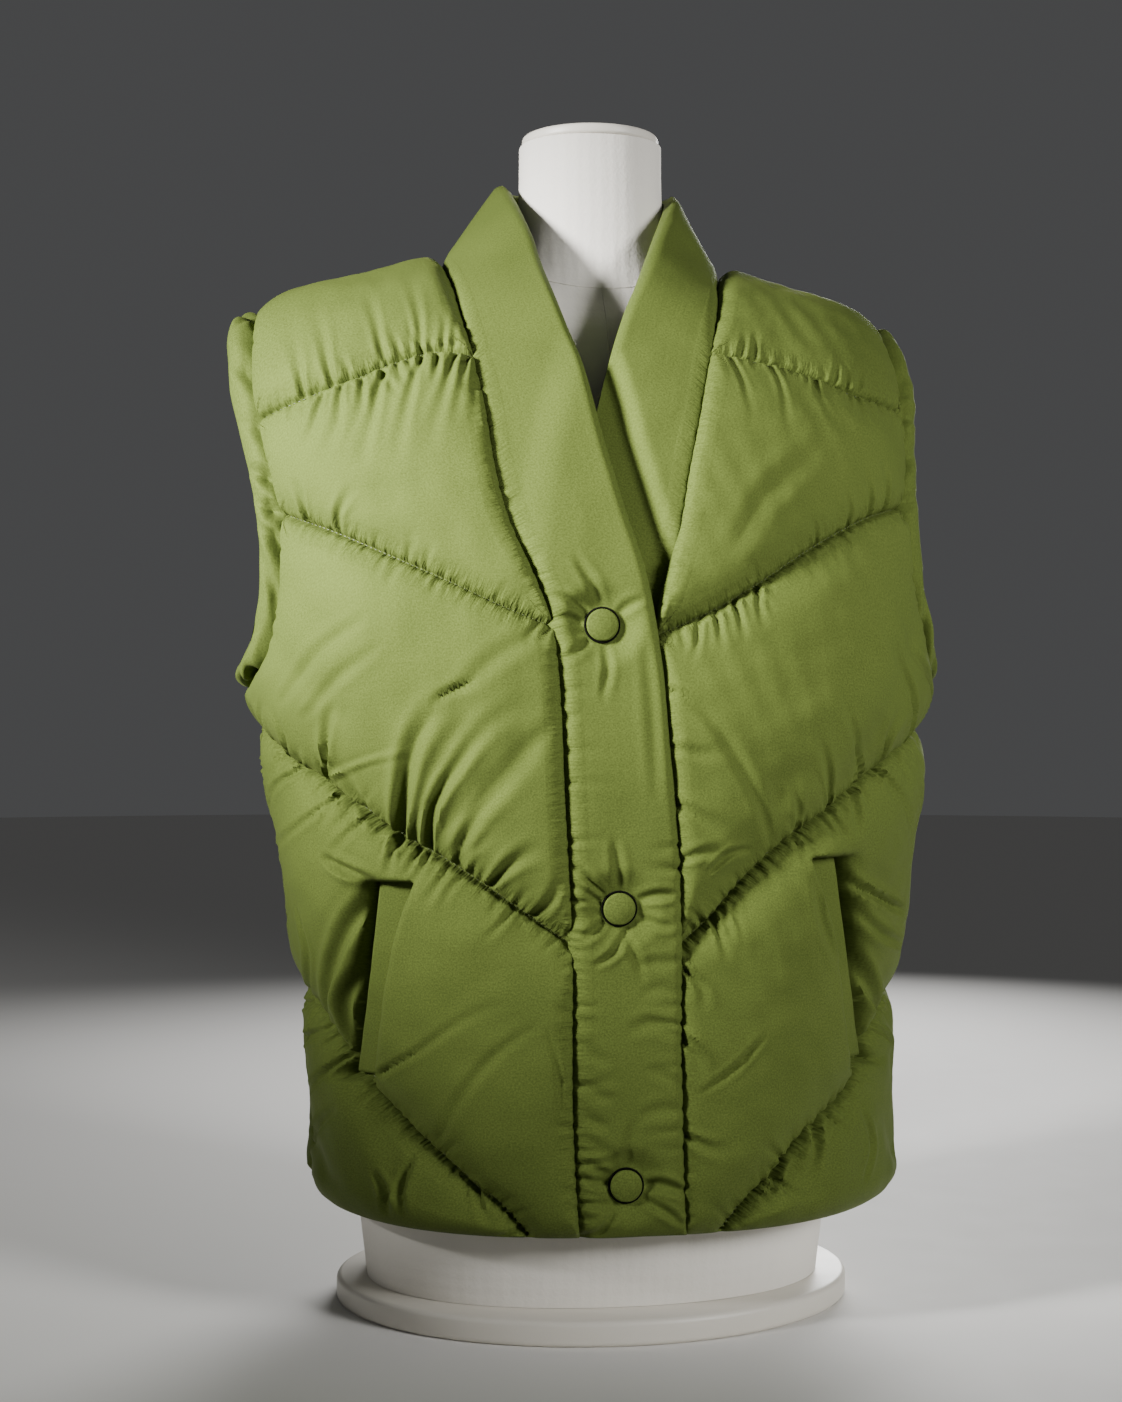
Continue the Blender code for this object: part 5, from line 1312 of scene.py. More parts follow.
def padded_wall(inner, outer, gather, closed=False):
    """A wall between two skins; the outer one has cells FINE times as small.

    Gather holds, for each point, how far along and how far from its nearest seam it is.
    """
    rows, columns = outer.shape[:2]
    across, up = cloth_lengths(inner)
    bm = bmesh.new()
    bmesh.ops.create_grid(bm, x_segments=(columns - 1) // FINE, y_segments=(rows - 1) // FINE,
                          size=1)
    row_of = bm.verts.layers.float.new("row")
    column_of = bm.verts.layers.float.new("column")
    skin_of = bm.verts.layers.float.new("skin")
    for vert in bm.verts:
        vert[column_of] = (vert.co.x + 1) / 2 * (columns - 1)
        vert[row_of] = (vert.co.y + 1) / 2 * (rows - 1)
    grown = bmesh.ops.extrude_face_region(bm, geom=bm.faces[:])["geom"]
    for vert in grown:
        if isinstance(vert, bmesh.types.BMVert):
            vert[skin_of] = 1.0
    if closed:
        ends = [face for face in bm.faces
                if all(vert[row_of] < 0.5 for vert in face.verts)
                or all(vert[row_of] > rows - 1.5 for vert in face.verts)]
        bmesh.ops.delete(bm, geom=ends, context="FACES_ONLY")
    skin = [edge for edge in bm.edges
            if edge.verts[0][skin_of] > 0.5 and edge.verts[1][skin_of] > 0.5]
    bmesh.ops.subdivide_edges(bm, edges=skin, cuts=FINE - 1, use_grid_fill=True)
    weave = bm.verts.layers.float_vector.new("weave")
    gathers = bm.verts.layers.float_vector.new("gather")
    inner_list, outer_list, gather = inner.tolist(), outer.tolist(), gather.tolist()
    across, up = across.tolist(), up.tolist()
    for vert in bm.verts:
        row, column = round(vert[row_of]), round(vert[column_of])
        skin = vert[skin_of] > 0.5
        vert.co = outer_list[row][column] if skin else inner_list[row][column]
        vert[weave] = (across[row][column], up[row][column], 0.0 if skin else 1.0)
        vert[gathers] = (*gather[row][column], 0.0)
    if closed:
        bmesh.ops.remove_doubles(bm, verts=bm.verts, dist=CELL_LIMIT)
    bmesh.ops.recalc_face_normals(bm, faces=bm.faces)
    return bm


def sided(name, side):
    """The name of a piece that is there on the right, -1, and on the left."""
    return f"{name}_{'right' if side < 0 else 'left'}"


# ---- the quilted panels
# Each kind of line: how far it pulls the padding down, 1 being flat, its shares of PUFF_REACH
# and of CROWN_REACH, and its gathers in mm: how far apart, how long and how deep.
LINE_KINDS = {
    "chevron_1": (0.75, 0.92, 1, 9.0, 14, 1.5), "chevron_2": (1.0, 0.92, 1, 10.0, 21, 2.3),
    "chevron_3": (0.95, 0.92, 1, 10.0, 18, 2.1), "yoke": (0.36, 0.92, 1, 8.0, 21, 1.3),
    "shoulder": (0.55, 0.92, 1, 16.0, 16, 0.6), "band": (0.50, 0.34, 0.8, 13.0, 13, 1.5),
    "side": (0.9, 0.5, 0.8, 12.0, 26, 2.4), "armhole": (0.80, 0.24, 0.42, 13.0, 12, 1.3),
}
NECK_PULL = 0.95  # the band's seam pulls harder round the neck, from this height
NECK_FROM = 0.665
NECK_OVER = 0.035
PANELS = {}  # built panels, for the stitching
SEEDS = {"front_right": 11, "front_left": 23, "back": 37, "collar_band_right": 41,
         "collar_band_left": 53, "arm_band_right": 61, "arm_band_left": 71}
DEEPEST = 0.0062  # creases that cross add up to no more than this
LEAST = 0.0030  # no crease makes the padding thinner than this
PUFF_SQUARE = 2.5  # 2 is an arc, more is squarer
UNEVEN = (0.20, 0.060)  # the reach differs by this share, over patches of this size
FULLER = (0.07, 0.085)  # and the fullness by this
RIPPLE = (0.0005, 0.022)  # height and size of the slightest waves in the cloth
FOLD_SHARE = 0.55  # the wide troughs of the body, under the finer creases
CREASE_CLEAR = 0.0014  # creases fade out this close to a line
CREASE_LIMIT = 0.5  # and where a puff is held down to this share
MANY_POINTS = 120  # every second point is enough for a line with more than this
EDGE_CLEAR = -0.0030  # the left front's puffs start under the over band's edge
EDGE_SHARE = 0.30  # and rise over this share of PUFF_REACH


def puff_rise(t):
    """Rise of a puff off its line: steeper at the line and flatter beyond than an arc."""
    return (1 - (1 - np.clip(t, 0, 1)) ** PUFF_SQUARE) ** (1 / PUFF_SQUARE)


def quilted(grid, name, lines, hem, limits):
    """Thickness of a quilted panel, with its gathers: uneven puffs between its lines."""
    rng = np.random.default_rng(SEEDS[name])
    uneven = 1 + UNEVEN[0] * swell(grid, UNEVEN[1], rng)
    full_of = 1 + FULLER[0] * swell(grid, FULLER[1], rng)
    lines = [(kind, line[::2] if len(line) > MANY_POINTS else line) for kind, line in lines]
    rises, crowns = [], []
    nearest = np.full(grid.shape[:2], np.inf)
    along = np.zeros(grid.shape[:2])
    for number, (kind, line) in enumerate(lines):
        run, away = follow(grid, line)
        along = np.where(away < nearest, run + number, along)
        nearest = np.minimum(nearest, away)
        pull, steep, crown_share = LINE_KINDS[kind][:3]
        rise = puff_rise((away - STITCH_FLAT) / (PUFF_REACH * steep * uneven))
        if kind == "band":
            pull = pull + (NECK_PULL - pull) * smooth_step((grid[..., 2] - NECK_FROM) / NECK_OVER)
        rises.append(1 - pull * (1 - rise))
        crown = arc_rise(away / (CROWN_REACH * crown_share))
        crowns.append(1 - pull * (1 - crown))
    to_hem = follow(grid, hem)[1]
    rises += [arc_rise((to_hem + HEM_LEAD) / HEM_REACH), limits]
    rise = join_rises(rises)
    crown = join_rises(crowns)
    full = (PUFF_RISE * rise + CROWN_RISE * crown * rise) * full_of
    full = np.maximum(full - FOLD_SHARE * fold_depth(grid, name) * rise, 0)
    creases = []
    for kind, line in lines:
        spacing, long, deep = (size / 1000 for size in LINE_KINDS[kind][3:])
        creases += puckers(line, rng, spacing, long, deep * sizes().pucker_depth)
    if name == "front_right":
        creases += placed(RIGHT_CREASES)
    elif name == "front_left":
        creases += placed(LEFT_CREASES)
    else:
        creases += back_creases()
    field = press_all(grid, creases) + RIPPLE[0] * swell(grid, RIPPLE[1], rng)
    field = np.maximum(field, 0) + DEEPEST * np.tanh(np.minimum(field, 0) / DEEPEST)
    edge = np.minimum(nearest, to_hem)
    free = smooth_step(edge / CREASE_CLEAR) * smooth_step(limits / CREASE_LIMIT)
    thick = SEAM_THICK + full + field * free
    thick = np.maximum(thick, np.minimum(SEAM_THICK + full, LEAST))
    return thick, np.stack([along, nearest], axis=-1)


# The same for the back, with the way as x and height in mm by turns.
BACK_CREASES = [
    (4.6, 4.6, 1, -118, 338, -108, 372, -86, 404, -60, 424),
    (4.0, 3.2, 1, -96, 322, -80, 358, -52, 392),
    (3.4, 2.8, 1, -146, 356, -150, 388, -140, 420),
    (2.8, 2.4, 1, -172, 376, -176, 402, -170, 430),
    (4.4, 4.2, 1, 104, 328, 110, 368, 96, 408, 70, 436),
    (3.4, 2.8, 1, 136, 348, 144, 384, 136, 418),
    (3.0, 2.4, 1, 166, 370, 176, 400, 180, 432),
    (2.6, 1.8, 1, 30, 284, 44, 330, 40, 372),
    (2.6, 1.8, 1, -30, 284, -20, 322, -24, 366),
    (3.4, 2.6, 0, -168, 330, -150, 280, -156, 236),
    (3.0, 2.4, 0, 160, 338, 150, 290, 160, 240),
    (2.6, 1.8, 1, -60, 288, -80, 252, -110, 222),
    (2.6, 1.8, 1, 70, 296, 92, 262, 112, 218),
    (3.0, 2.6, 1, -120, 140, -136, 176, -130, 212),
    (3.0, 2.4, 1, 124, 144, 140, 184, 134, 222),
    (2.8, 2.6, 1, -150, 168, -160, 136, -156, 100),
    (2.8, 2.4, 1, 148, 166, 158, 134, 160, 102),
    (2.6, 2.0, 1, 40, 98, 44, 130, 60, 160),
    (2.6, 2.0, 1, -50, 98, -48, 128, -30, 156),
    (3.4, 2.2, 1, -150, 655, -146, 622, -138, 590),
    (3.4, 2.0, 1, -96, 668, -92, 636, -100, 600),
    (3.4, 2.0, 1, -40, 674, -36, 640, -44, 604),
    (3.4, 2.2, 1, 20, 675, 26, 642, 18, 606),
    (3.4, 2.0, 1, 78, 670, 80, 636, 70, 600),
    (3.4, 2.2, 1, 132, 658, 126, 622, 130, 590),
    (3.0, 2.0, 1, -140, 536, -132, 566, -116, 590),
    (3.0, 2.0, 1, 128, 532, 124, 562, 108, 590),
    (2.4, 1.4, 0, -70, 560, -30, 590, 20, 580),
    (2.4, 1.3, 0, 60, 420, 20, 440, -30, 420),
]


def back_creases():
    """Crease paths on the back, straight between the listed points."""
    found = []
    for half_width, depth, from_seam, *spots in BACK_CREASES:
        path = on_back(*np.reshape(spots, (-1, 2)).T / 1000)
        wanted = np.linspace(0, lengths(path)[-1], POINTS_ALONG["crease"])
        found.append((on_body(at_lengths(path, wanted)), half_width / 1000, depth / 1000,
                      bool(from_seam)))
    return found


# Over these distances the puffs stand up beside a welt: inner and outer edge, and its ends.
POCKET_REACH = (0.006, 0.014, 0.006)
POCKET_OVER = (-0.004, 0.008)  # the puffs close over the welt's top and foot by this
POCKET_LAP = 0.0050  # and over its inner edge, most a little above mid height
POCKET_LAP_HIGH = 1.4
POCKET_FREE = 0.0010  # width left bare beside the outer edge


def pocket_bed(points, side):
    """How far out of a welt's bed each point is, 0 in it and 1 where the puffs are full."""
    inner, outer = welt_x(side, points[..., 2])
    top, foot = (WELTS[side][end][2] + over for end, over in zip(("top", "foot"), POCKET_OVER))
    share = np.clip((points[..., 2] - foot) / (top - foot), 0, 1)
    lap = POCKET_LAP * np.sin(pi * share ** POCKET_LAP_HIGH)
    within = side * (inner - points[..., 0]) + lap
    beyond = side * (points[..., 0] - outer) - POCKET_FREE
    along = np.maximum(points[..., 2] - top, foot - points[..., 2])
    out = np.maximum(within / POCKET_REACH[0], beyond / POCKET_REACH[1])
    return np.hypot(np.maximum(out, 0), np.maximum(along, 0) / POCKET_REACH[2])


def build_panel(name, base, grid, stitches, thick, gather):
    """The finished piece of a panel, kept for its stitching."""
    outer = base + body_normals(grid) * thick[..., None]
    thing = settle(f"{name}_puffs", padded_wall(base, outer, gather), "shell",
                   nodes=(name,))
    PANELS[name] = (thing, stitches)


def build_front(side):
    name = sided("front", side)
    grid, stitches, seam = front_grid(side)
    base = pull_in(grid)
    under = UNDERARM_ROW
    lines = stitches + [("band", seam), ("side", grid[:under + 1:4, -1]),
                        ("armhole", grid[under::4, -1]), ("shoulder", grid[-1, ::2])]
    limits = [puff_rise(pocket_bed(grid, side))]
    if side > 0:
        beyond = grid[..., 0] - free_edge_x(OVER_EDGE, grid[..., 2]) - EDGE_CLEAR
        limits.append(arc_rise(np.maximum(beyond, 0) / (PUFF_REACH * EDGE_SHARE)))
    thick, gather = quilted(grid, name, lines, grid[0, ::4], join_rises(limits))
    build_panel(name, base, grid, stitches, thick, gather)
    return grid


def build_back():
    grid, stitches = back_grid()
    base = pull_in(grid)
    neck = grid[-1, SHOULDER_COLUMNS:-SHOULDER_COLUMNS:2]
    lines = stitches + [("band", neck), ("shoulder", grid[-1, :SHOULDER_COLUMNS + 1:2]),
                        ("shoulder", grid[-1, -SHOULDER_COLUMNS - 1::2])]
    for column in (0, -1):
        lines += [("side", grid[:UNDERARM_ROW + 1:4, column]),
                  ("armhole", grid[UNDERARM_ROW::4, column])]
    thick, gather = quilted(grid, "back", lines, grid[0, ::4], np.ones(grid.shape[:2]))
    build_panel("back", base, grid, stitches, thick, gather)
    return grid


# ---- the shawl band
BAND_STEEP = 0.45  # share of BAND_SEAM_REACH over which it stands up
BAND_STANDS = 0.5  # the band's rise at the seam itself
EDGE_STEEP = 0.6  # share of BAND_EDGE_REACH
EDGE_LEAD = 0.001
SEAM_CLOSE = 0.0038  # the band leans this far over its seam
BAND_CLEAR = 0.005  # its creases fade out this close to its edges

# Gathers of the bands: their line, the height they run up to, spacing, length and depth.
UNDER_PUCKERS = [("seam", 9.0, 0.0120, 0.012, 0.0007)]
OVER_PUCKERS = [("seam", 9.0, 0.0120, 0.010, 0.0006), ("seam", 0.46, 0.0120, 0.026, 0.0017),
                ("edge", 0.36, 0.0130, 0.022, 0.0012)]
UNDER_RIPPLE = (0.0006, 0.045)  # height and size of the slightest waves
OVER_RIPPLE = (0.0007, 0.050)
BAND_SOFTEN = (1.35, 0.85)  # its placed creases are wider and shallower than listed


def in_placket_or_chest(pair, z):
    """A size that goes over from its placket value to its chest value."""
    return pair[0] + (pair[1] - pair[0]) * smooth_step((z - CHEST_FROM) / CHEST_OVER)


def band_padding(base, seam, edge):
    """Thickness of a band, standing up steeply from its seam and rolled at its free edge."""
    from_seam, from_edge = apart(base, seam[:, None]), apart(base, edge[:, None])
    from_hem = np.maximum(base[..., 2] - HEM_HEIGHT, 0) + HEM_LEAD
    stand = puff_rise(from_seam / (BAND_SEAM_REACH * BAND_STEEP))
    stands = BAND_STANDS * (1 - smooth_step((base[..., 2] - NECK_FROM) / NECK_OVER))
    rise = join_rises([stands + (1 - stands) * stand,
                       arc_rise((from_edge + EDGE_LEAD) / (BAND_EDGE_REACH * EDGE_STEEP)),
                       arc_rise(from_hem / HEM_REACH)])
    slim = COLLAR_SLIM * smooth_step((base[..., 2] - COLLAR_SLIM_FROM) / COLLAR_SLIM_OVER)
    return BAND_EDGE_THICK + BAND_RISE * rise * (1 - slim)


def close_seam(outer, base):
    """Leans the first columns of an outer skin over the seam, so that it shuts."""
    out = unit(base[:, :1] - base[:, 1:2])
    share = np.clip(1 - np.arange(base.shape[1]) / (2.0 * FINE), 0, 1)
    return outer + out * (SEAM_CLOSE * share)[None, :, None]


def band_puckers(listed, seam, edge, rng):
    """The gathers along a band's seam and its free edge."""
    found = []
    for place, up_to, spacing, long, deep in listed:
        line = seam if place == "seam" else edge
        found += puckers(line[line[:, 2] < up_to][::6], rng, spacing, long, deep)
    return found


def build_band(name, node, base, seam, normals, thick, lift=0.0):
    """The finished piece of a band; lift moves its inner skin out."""
    run = np.repeat(lengths(seam)[:, None], base.shape[1], axis=1)
    gather = np.stack([run, apart(base, seam[:, None])], axis=-1)
    base = trim_band(base) + normals * lift
    outer = close_seam(base + normals * thick[..., None], base)
    return settle(name, padded_wall(base, outer, gather), "shell", nodes=(node,))


def build_under_band(front):
    rng = np.random.default_rng(SEEDS["collar_band_left"])
    seam, edge, lies = band_sections(1, front)
    base = band_base(seam, edge)
    normals = band_normals(base, lies)
    full = band_padding(base, seam, edge)
    clear = in_placket_or_chest(FREE_CLEAR, base[..., 2])
    beyond = base[..., 0] - free_edge_x(OVER_EDGE, base[..., 2]) - clear
    leaves = smooth_step((base[..., 2] - COVERED_UP_TO) / COVERED_FADE)
    open_share = np.maximum(smooth_step(beyond / OPEN_RAMP), leaves)
    thick = COVERED_THICK + (full - COVERED_THICK) * open_share
    thick = np.where(open_share < 1, np.minimum(thick, full + COVERED_THICK), thick)
    creases = band_puckers(UNDER_PUCKERS, seam, edge, rng)
    inside = np.minimum(apart(base, seam[:, None]), apart(base, edge[:, None]))
    field = press_all(base, creases) + UNDER_RIPPLE[0] * swell(base, UNDER_RIPPLE[1], rng)
    thick += field * smooth_step(inside / BAND_CLEAR) * smooth_step(open_share * 2 - 1)
    build_band("under_band", "collar_band_left", base, seam, normals, thick)


def build_over_band(front):
    rng = np.random.default_rng(SEEDS["collar_band_right"])
    seam, edge, lies = band_sections(-1, front)
    base = band_base(seam, edge)
    normals = band_normals(base, lies)
    thick = band_padding(base, seam, edge)
    cap_free = np.ones(thick.shape)
    for x, z in CAPS:
        away = np.hypot(base[..., 0] - x, base[..., 2] - z)
        pull = 1 - smooth_step((away - DIMPLE_FLOOR) / (DIMPLE_REACH - DIMPLE_FLOOR))
        thick = thick - DIMPLE_DEPTH * pull * (base[..., 1] < 0)
        clear = smooth_step((away - CAP_RADIUS) / CAP_FLAT)
        cap_free *= np.where(base[..., 1] < 0, clear, 1.0)
    lead = in_placket_or_chest(LIFT_LEAD, base[..., 2])
    inside = base[..., 0] - free_edge_x(UNDER_EDGE, base[..., 2]) + lead
    over = smooth_step(1 + inside / in_placket_or_chest(LIFT_SOFT, base[..., 2]))
    over *= smooth_step((LIFT_TOP - base[..., 2]) / LIFT_FADE) * (base[..., 1] < LIFT_Y)
    rim = apart(base, seam[:, None])
    lift = LIFT * over * smooth_step(rim / LIFT_OFF_SEAM)
    thick -= LIFT_THINS * lift
    creases = band_puckers(OVER_PUCKERS, seam, edge, rng)
    creases += [(path, wide * BAND_SOFTEN[0], deep * BAND_SOFTEN[1], kind)
                for path, wide, deep, kind in placed(BAND_CREASES)]
    field = press_all(base, creases) + OVER_RIPPLE[0] * swell(base, OVER_RIPPLE[1], rng)
    thick += field * smooth_step(rim / BAND_CLEAR) * cap_free
    thick = np.maximum(thick, LEAST)
    return build_band("over_band", "collar_band_right", base, seam, normals, thick,
                      lift[..., None])


# ---- armhole bands
CUFF_CREASES = 18
CUFF_BUNCHES = 7  # further folds where the band bunches under the arm
CUFF_FULL = 0.55
CUFF_STANDS = 0.25  # share of the width over which it stands up from its seam
BUNCH_SPREAD = 0.10  # share of the way round that the bunch takes up
CREASE_DRIFT = (0.03, 0.07)  # the least share that a fold runs on round, and chance's part
CREASE_ACROSS = (0.04, 0.5, 0.98)
CREASE_WIDE = (0.0032, 0.0034)
CREASE_DEEP = (0.0016, 0.0026)
LOW_DEEPER = 1.1  # folds are deeper by this share at the underarm
CUFF_RIPPLE = (0.0006, 0.030)
CUFF_CLEAR = 0.2  # share of the width beside the seam where creases fade out


def build_cuff(side, front, back):
    """A padded ring that stands out from the armhole seam and leans in over the opening."""
    name = sided("arm_band", side)
    rng = np.random.default_rng(SEEDS[name])
    front_edge = front[UNDERARM_ROW:, -1]
    back_edge = back[UNDERARM_ROW:, 0 if side < 0 else -1]
    loop = np.vstack([front_edge, back_edge[-2::-1]])
    body = body_normals(loop)
    inward = loop[:-1].mean(axis=0) - loop
    inward[:, 0] = 0
    inward = unit(inward)
    out = unit(np.array([side, 0.0, 0.0]) + CUFF_LEAN * inward)
    away = unit(np.sum(inward * out, axis=1, keepdims=True) * out - inward)
    tangent = np.roll(loop[:-1], -1, axis=0) - np.roll(loop[:-1], 1, axis=0)
    tangent = np.vstack([tangent, tangent[:1]])
    toward = unit(np.cross(tangent, body))
    toward *= np.sign(np.sum(toward * inward, axis=1, keepdims=True))
    q = np.linspace(0, 1, CUFF_COLUMNS + 1)[None, :, None]
    loop, body, out, away, toward = (a[:, None] for a in (loop, body, out, away, toward))
    above = np.maximum(away[..., 2:], 0) ** 2
    below = np.maximum(-away[..., 2:], 0) ** 2
    spine = loop + toward * SEAM_GAP / 2 + out * (CUFF_WIDTH + CUFF_TOP_WIDER * above) * q
    fat = np.sin(pi * np.clip(q, 0, 1) ** CUFF_SKEW) ** CUFF_FULL
    inner = spine - away * (CUFF_IN * fat + CUFF_TIP * q)
    rise = puff_rise(q / CUFF_STANDS)
    padding = CUFF_OUT * (1 + CUFF_OVER * above - CUFF_UNDER * below)
    plain = (spine + body * SEAM_THICK * (1 - rise)
             + away * (padding * fat * rise + CUFF_TIP * q))
    creases = []
    count = plain.shape[0] - 1
    for number in range(CUFF_CREASES + CUFF_BUNCHES):
        share = rng.random()
        if number >= CUFF_CREASES:
            share = (BUNCH_SPREAD * (rng.random() - 0.5)) % 1
        at = int(share * count)
        low = 1 - min(share, 1 - share) * 2
        way = 1 if share < 0.5 else -1
        drift = int(count * (CREASE_DRIFT[0] + CREASE_DRIFT[1] * rng.random())) * way
        rows = (at, at + drift // 2, at + drift)
        path = np.stack([plain[row % count, int(k * CUFF_COLUMNS)]
                         for row, k in zip(rows, CREASE_ACROSS)])
        wide = CREASE_WIDE[0] + CREASE_WIDE[1] * rng.random()
        deep = CREASE_DEEP[0] + CREASE_DEEP[1] * rng.random()
        creases.append((path, wide, deep * (1 + LOW_DEEPER * low ** 4), False))
    field = press_all(plain, creases) + CUFF_RIPPLE[0] * swell(plain, CUFF_RIPPLE[1], rng)
    free = smooth_step(np.linspace(0, 1, CUFF_COLUMNS + 1) / CUFF_CLEAR)[None]
    outer = plain + away * (field * free)[..., None]
    outer[-1], inner[-1] = outer[0], inner[0]
    run = np.repeat(lengths(loop[:, 0])[:, None], CUFF_COLUMNS + 1, axis=1)
    gather = np.stack([run, np.broadcast_to(q[..., 0] * CUFF_WIDTH, run.shape)], axis=-1)
    settle(f"{name}_padding", padded_wall(inner, outer, gather, closed=True), "shell",
           nodes=(name,))


# ---- pocket welts
WELT_STAND = 0.0020  # the free outer edge stands this far off the pocket
WELT_CELLS = (30, 5)  # along and across, each FINE times as fine outside
WELT_ROUND = (0.02, 0.10)  # shares of its length and width over which its edges round
WELT_EDGE = 0.0006  # thickness at the edges themselves
WELT_RIPPLE = (0.00035, 0.030)
WELT_SEED = 5


def build_welt(side):
    """A folded strip, flat and crisp, a little rounded along its edges."""
    name = sided("pocket_welt", side)
    top, foot = WELTS[side]["top"], WELTS[side]["foot"]
    rng = np.random.default_rng(WELT_SEED + side)
    shares, across = (np.linspace(*ends, FINE * cells + 1)
                      for ends, cells in zip((WELT_RUN, (0, 1)), WELT_CELLS))
    z = foot[2] + (top[2] - foot[2]) * shares
    inner, outer = (np.abs(x) for x in welt_x(side, z))
    x = side * ((inner + WELT_INSET)[:, None] * (1 - across)
                + (outer - WELT_INSET)[:, None] * across)
    base = on_front(x, np.repeat(z[:, None], len(across), axis=1))
    normals = body_normals(base)
    ends = np.minimum(arc_rise((shares - WELT_RUN[0]) / WELT_ROUND[0]),
                      arc_rise((WELT_RUN[1] - shares) / WELT_ROUND[0]))[:, None]
    edges = np.minimum(arc_rise(across / WELT_ROUND[1]), arc_rise((1 - across) / WELT_ROUND[1]))
    full = np.minimum(edges[None], ends)
    thick = WELT_EDGE + (WELT_THICK - WELT_EDGE) * full
    thick = thick + WELT_RIPPLE[0] * swell(base, WELT_RIPPLE[1], rng) * full
    stand = WELT_STAND * across[None, :] * ends
    low = base + normals * (SEAM_THICK + WELT_CLEAR + stand)[..., None]
    gather = np.stack([z[:, None] + 0 * x, 0 * x + 1], axis=-1)
    settle(f"{name}_strip", padded_wall(low, low + normals * thick[..., None], gather), "shell",
           nodes=(name,))


# ---- snap caps
def cap_profile():
    """Half section of a covered cap: flat underside, rolled rim, low dome."""
    flat = CAP_RADIUS - CAP_RIM
    points = [(0.0, 0.0), (flat, 0.0)]
    for k in range(1, CAP_STEPS + 1):
        angle = -pi / 2 + k * pi / CAP_STEPS
        points.append((flat + CAP_RIM * cos(angle), CAP_RIM * (1 + sin(angle))))
    for k in range(1, CAP_STEPS + 1):
        t = k / CAP_STEPS
        points.append((flat * (1 - t),
                       2 * CAP_RIM + (CAP_HEIGHT - 2 * CAP_RIM) * (1 - (1 - t) ** 2)))
    return points


def turned(profile, closed=False):
    """A bmesh spun about the Z axis from a half section."""
    bm = bmesh.new()
    verts = [bm.verts.new((r, 0, h)) for r, h in profile]
    pairs = list(zip(verts, verts[1:])) + ([(verts[-1], verts[0])] if closed else [])
    rim = [bm.edges.new(pair) for pair in pairs]
    bmesh.ops.spin(bm, geom=verts + rim, axis=(0, 0, 1), cent=(0, 0, 0),
                   steps=CAP_SIDES, angle=2 * pi, use_merge=True)
    bmesh.ops.remove_doubles(bm, verts=bm.verts, dist=CELL_LIMIT)
    bmesh.ops.recalc_face_normals(bm, faces=bm.faces)
    return bm


def add_weave(bm):
    """Gives a small piece its weave from its own flat place."""
    weave = bm.verts.layers.float_vector.new("weave")
    for vert in bm.verts:
        vert[weave] = vert.co


SEAT_RINGS = (0.0, 0.5, 1.0)  # shares of the cap's radius at which the band is felt for
SEAT_SPOTS = 24
CAP_CAST = 0.06  # from this far out


def build_caps(band):
    """Covered caps, each square to the body and seated on the band, with a matt near-black ring
    round each that paints the shadow line at its edge.
    """
    tree = BVHTree.FromObject(band, bpy.context.evaluated_depsgraph_get())
    for number, (x, z) in enumerate(CAPS, start=1):
        base = Vector(on_front(x, z))
        normal = Vector(body_normals(on_front(x, z)[None])[0])
        turn = Vector((0, 0, 1)).rotation_difference(normal).to_matrix()
        seat = 0.0
        for ring in SEAT_RINGS:
            for angle in np.linspace(0, 2 * pi, SEAT_SPOTS, endpoint=False):
                spot = turn @ Vector((cos(angle), sin(angle), 0)) * CAP_RADIUS
                start = base + PLACE + spot * ring + normal * CAP_CAST
                hit = tree.ray_cast(start, -normal)[0]
                seat = max(seat, (hit - base - PLACE).dot(normal))
        where = Matrix.Translation(base + normal * (seat + CAP_CLEAR)) @ turn.to_4x4()
        cap = turned(cap_profile())
        add_weave(cap)
        cap.transform(where)
        settle(f"snap_cap_{number}_cover", cap, "shell", nodes=(f"snap_cap_{number}",))
        # A matt near-black ring round the cap: painted shade for the shadow line at its edge.
        section = [(RING_RADIUS + RING_THICK * cos(k * pi / 4),
                    RING_THICK * (RING_SEAT + sin(k * pi / 4))) for k in range(8)]
        ring = turned(section, closed=True)
        ring.transform(where)
        settle(f"cap_shadow_ring_{number}", ring, "ring")


# ---- stitching
def one_stitch():
    """A short thick thread end to end along Z, 2 long and 2 wide."""
    mesh = bpy.data.meshes.new("one_stitch")
    bm = bmesh.new()
    bmesh.ops.create_uvsphere(bm, u_segments=6, v_segments=5, radius=1)
    bm.to_mesh(mesh)
    bm.free()
    return mesh


STITCH_CAST = 0.05  # the cloth is felt for from this far out
STITCH_PROUD = 0.3  # and the thread's middle stands off it by this share of its width


def sew(bm, curve, tree, stitch):
    """Lays short stitches along a curve, on the cloth that lies outside it."""
    run = lengths(curve)
    normals = body_normals(curve)
    long, wide = sizes().stitch_length, sizes().thread_width
    pitch = long + sizes().stitch_gap
    for s in np.arange(pitch, run[-1] - pitch, pitch):
        ends = []
        for offset in (-long / 2, long / 2):
            spot = at_lengths(curve, [s + offset])[0]
            normal = Vector(normals[min(np.searchsorted(run, s), len(run) - 1)])
            hit = tree.ray_cast(Vector(spot) + PLACE + normal * STITCH_CAST, -normal)[0]
            if hit is None:
                break
            ends.append(hit - PLACE + normal * wide * STITCH_PROUD)
        if len(ends) < 2:
            continue
        way = ends[1] - ends[0]
        turn = Vector((0, 0, 1)).rotation_difference(way).to_matrix().to_4x4()
        place = Matrix.Translation((ends[0] + ends[1]) / 2) @ turn
        size = Matrix.Diagonal((wide, wide, way.length / 2, 1))
        done = len(bm.verts)
        bm.from_mesh(stitch)
        bm.verts.ensure_lookup_table()
        for vert in bm.verts[done:]:
            vert.co = place @ size @ vert.co


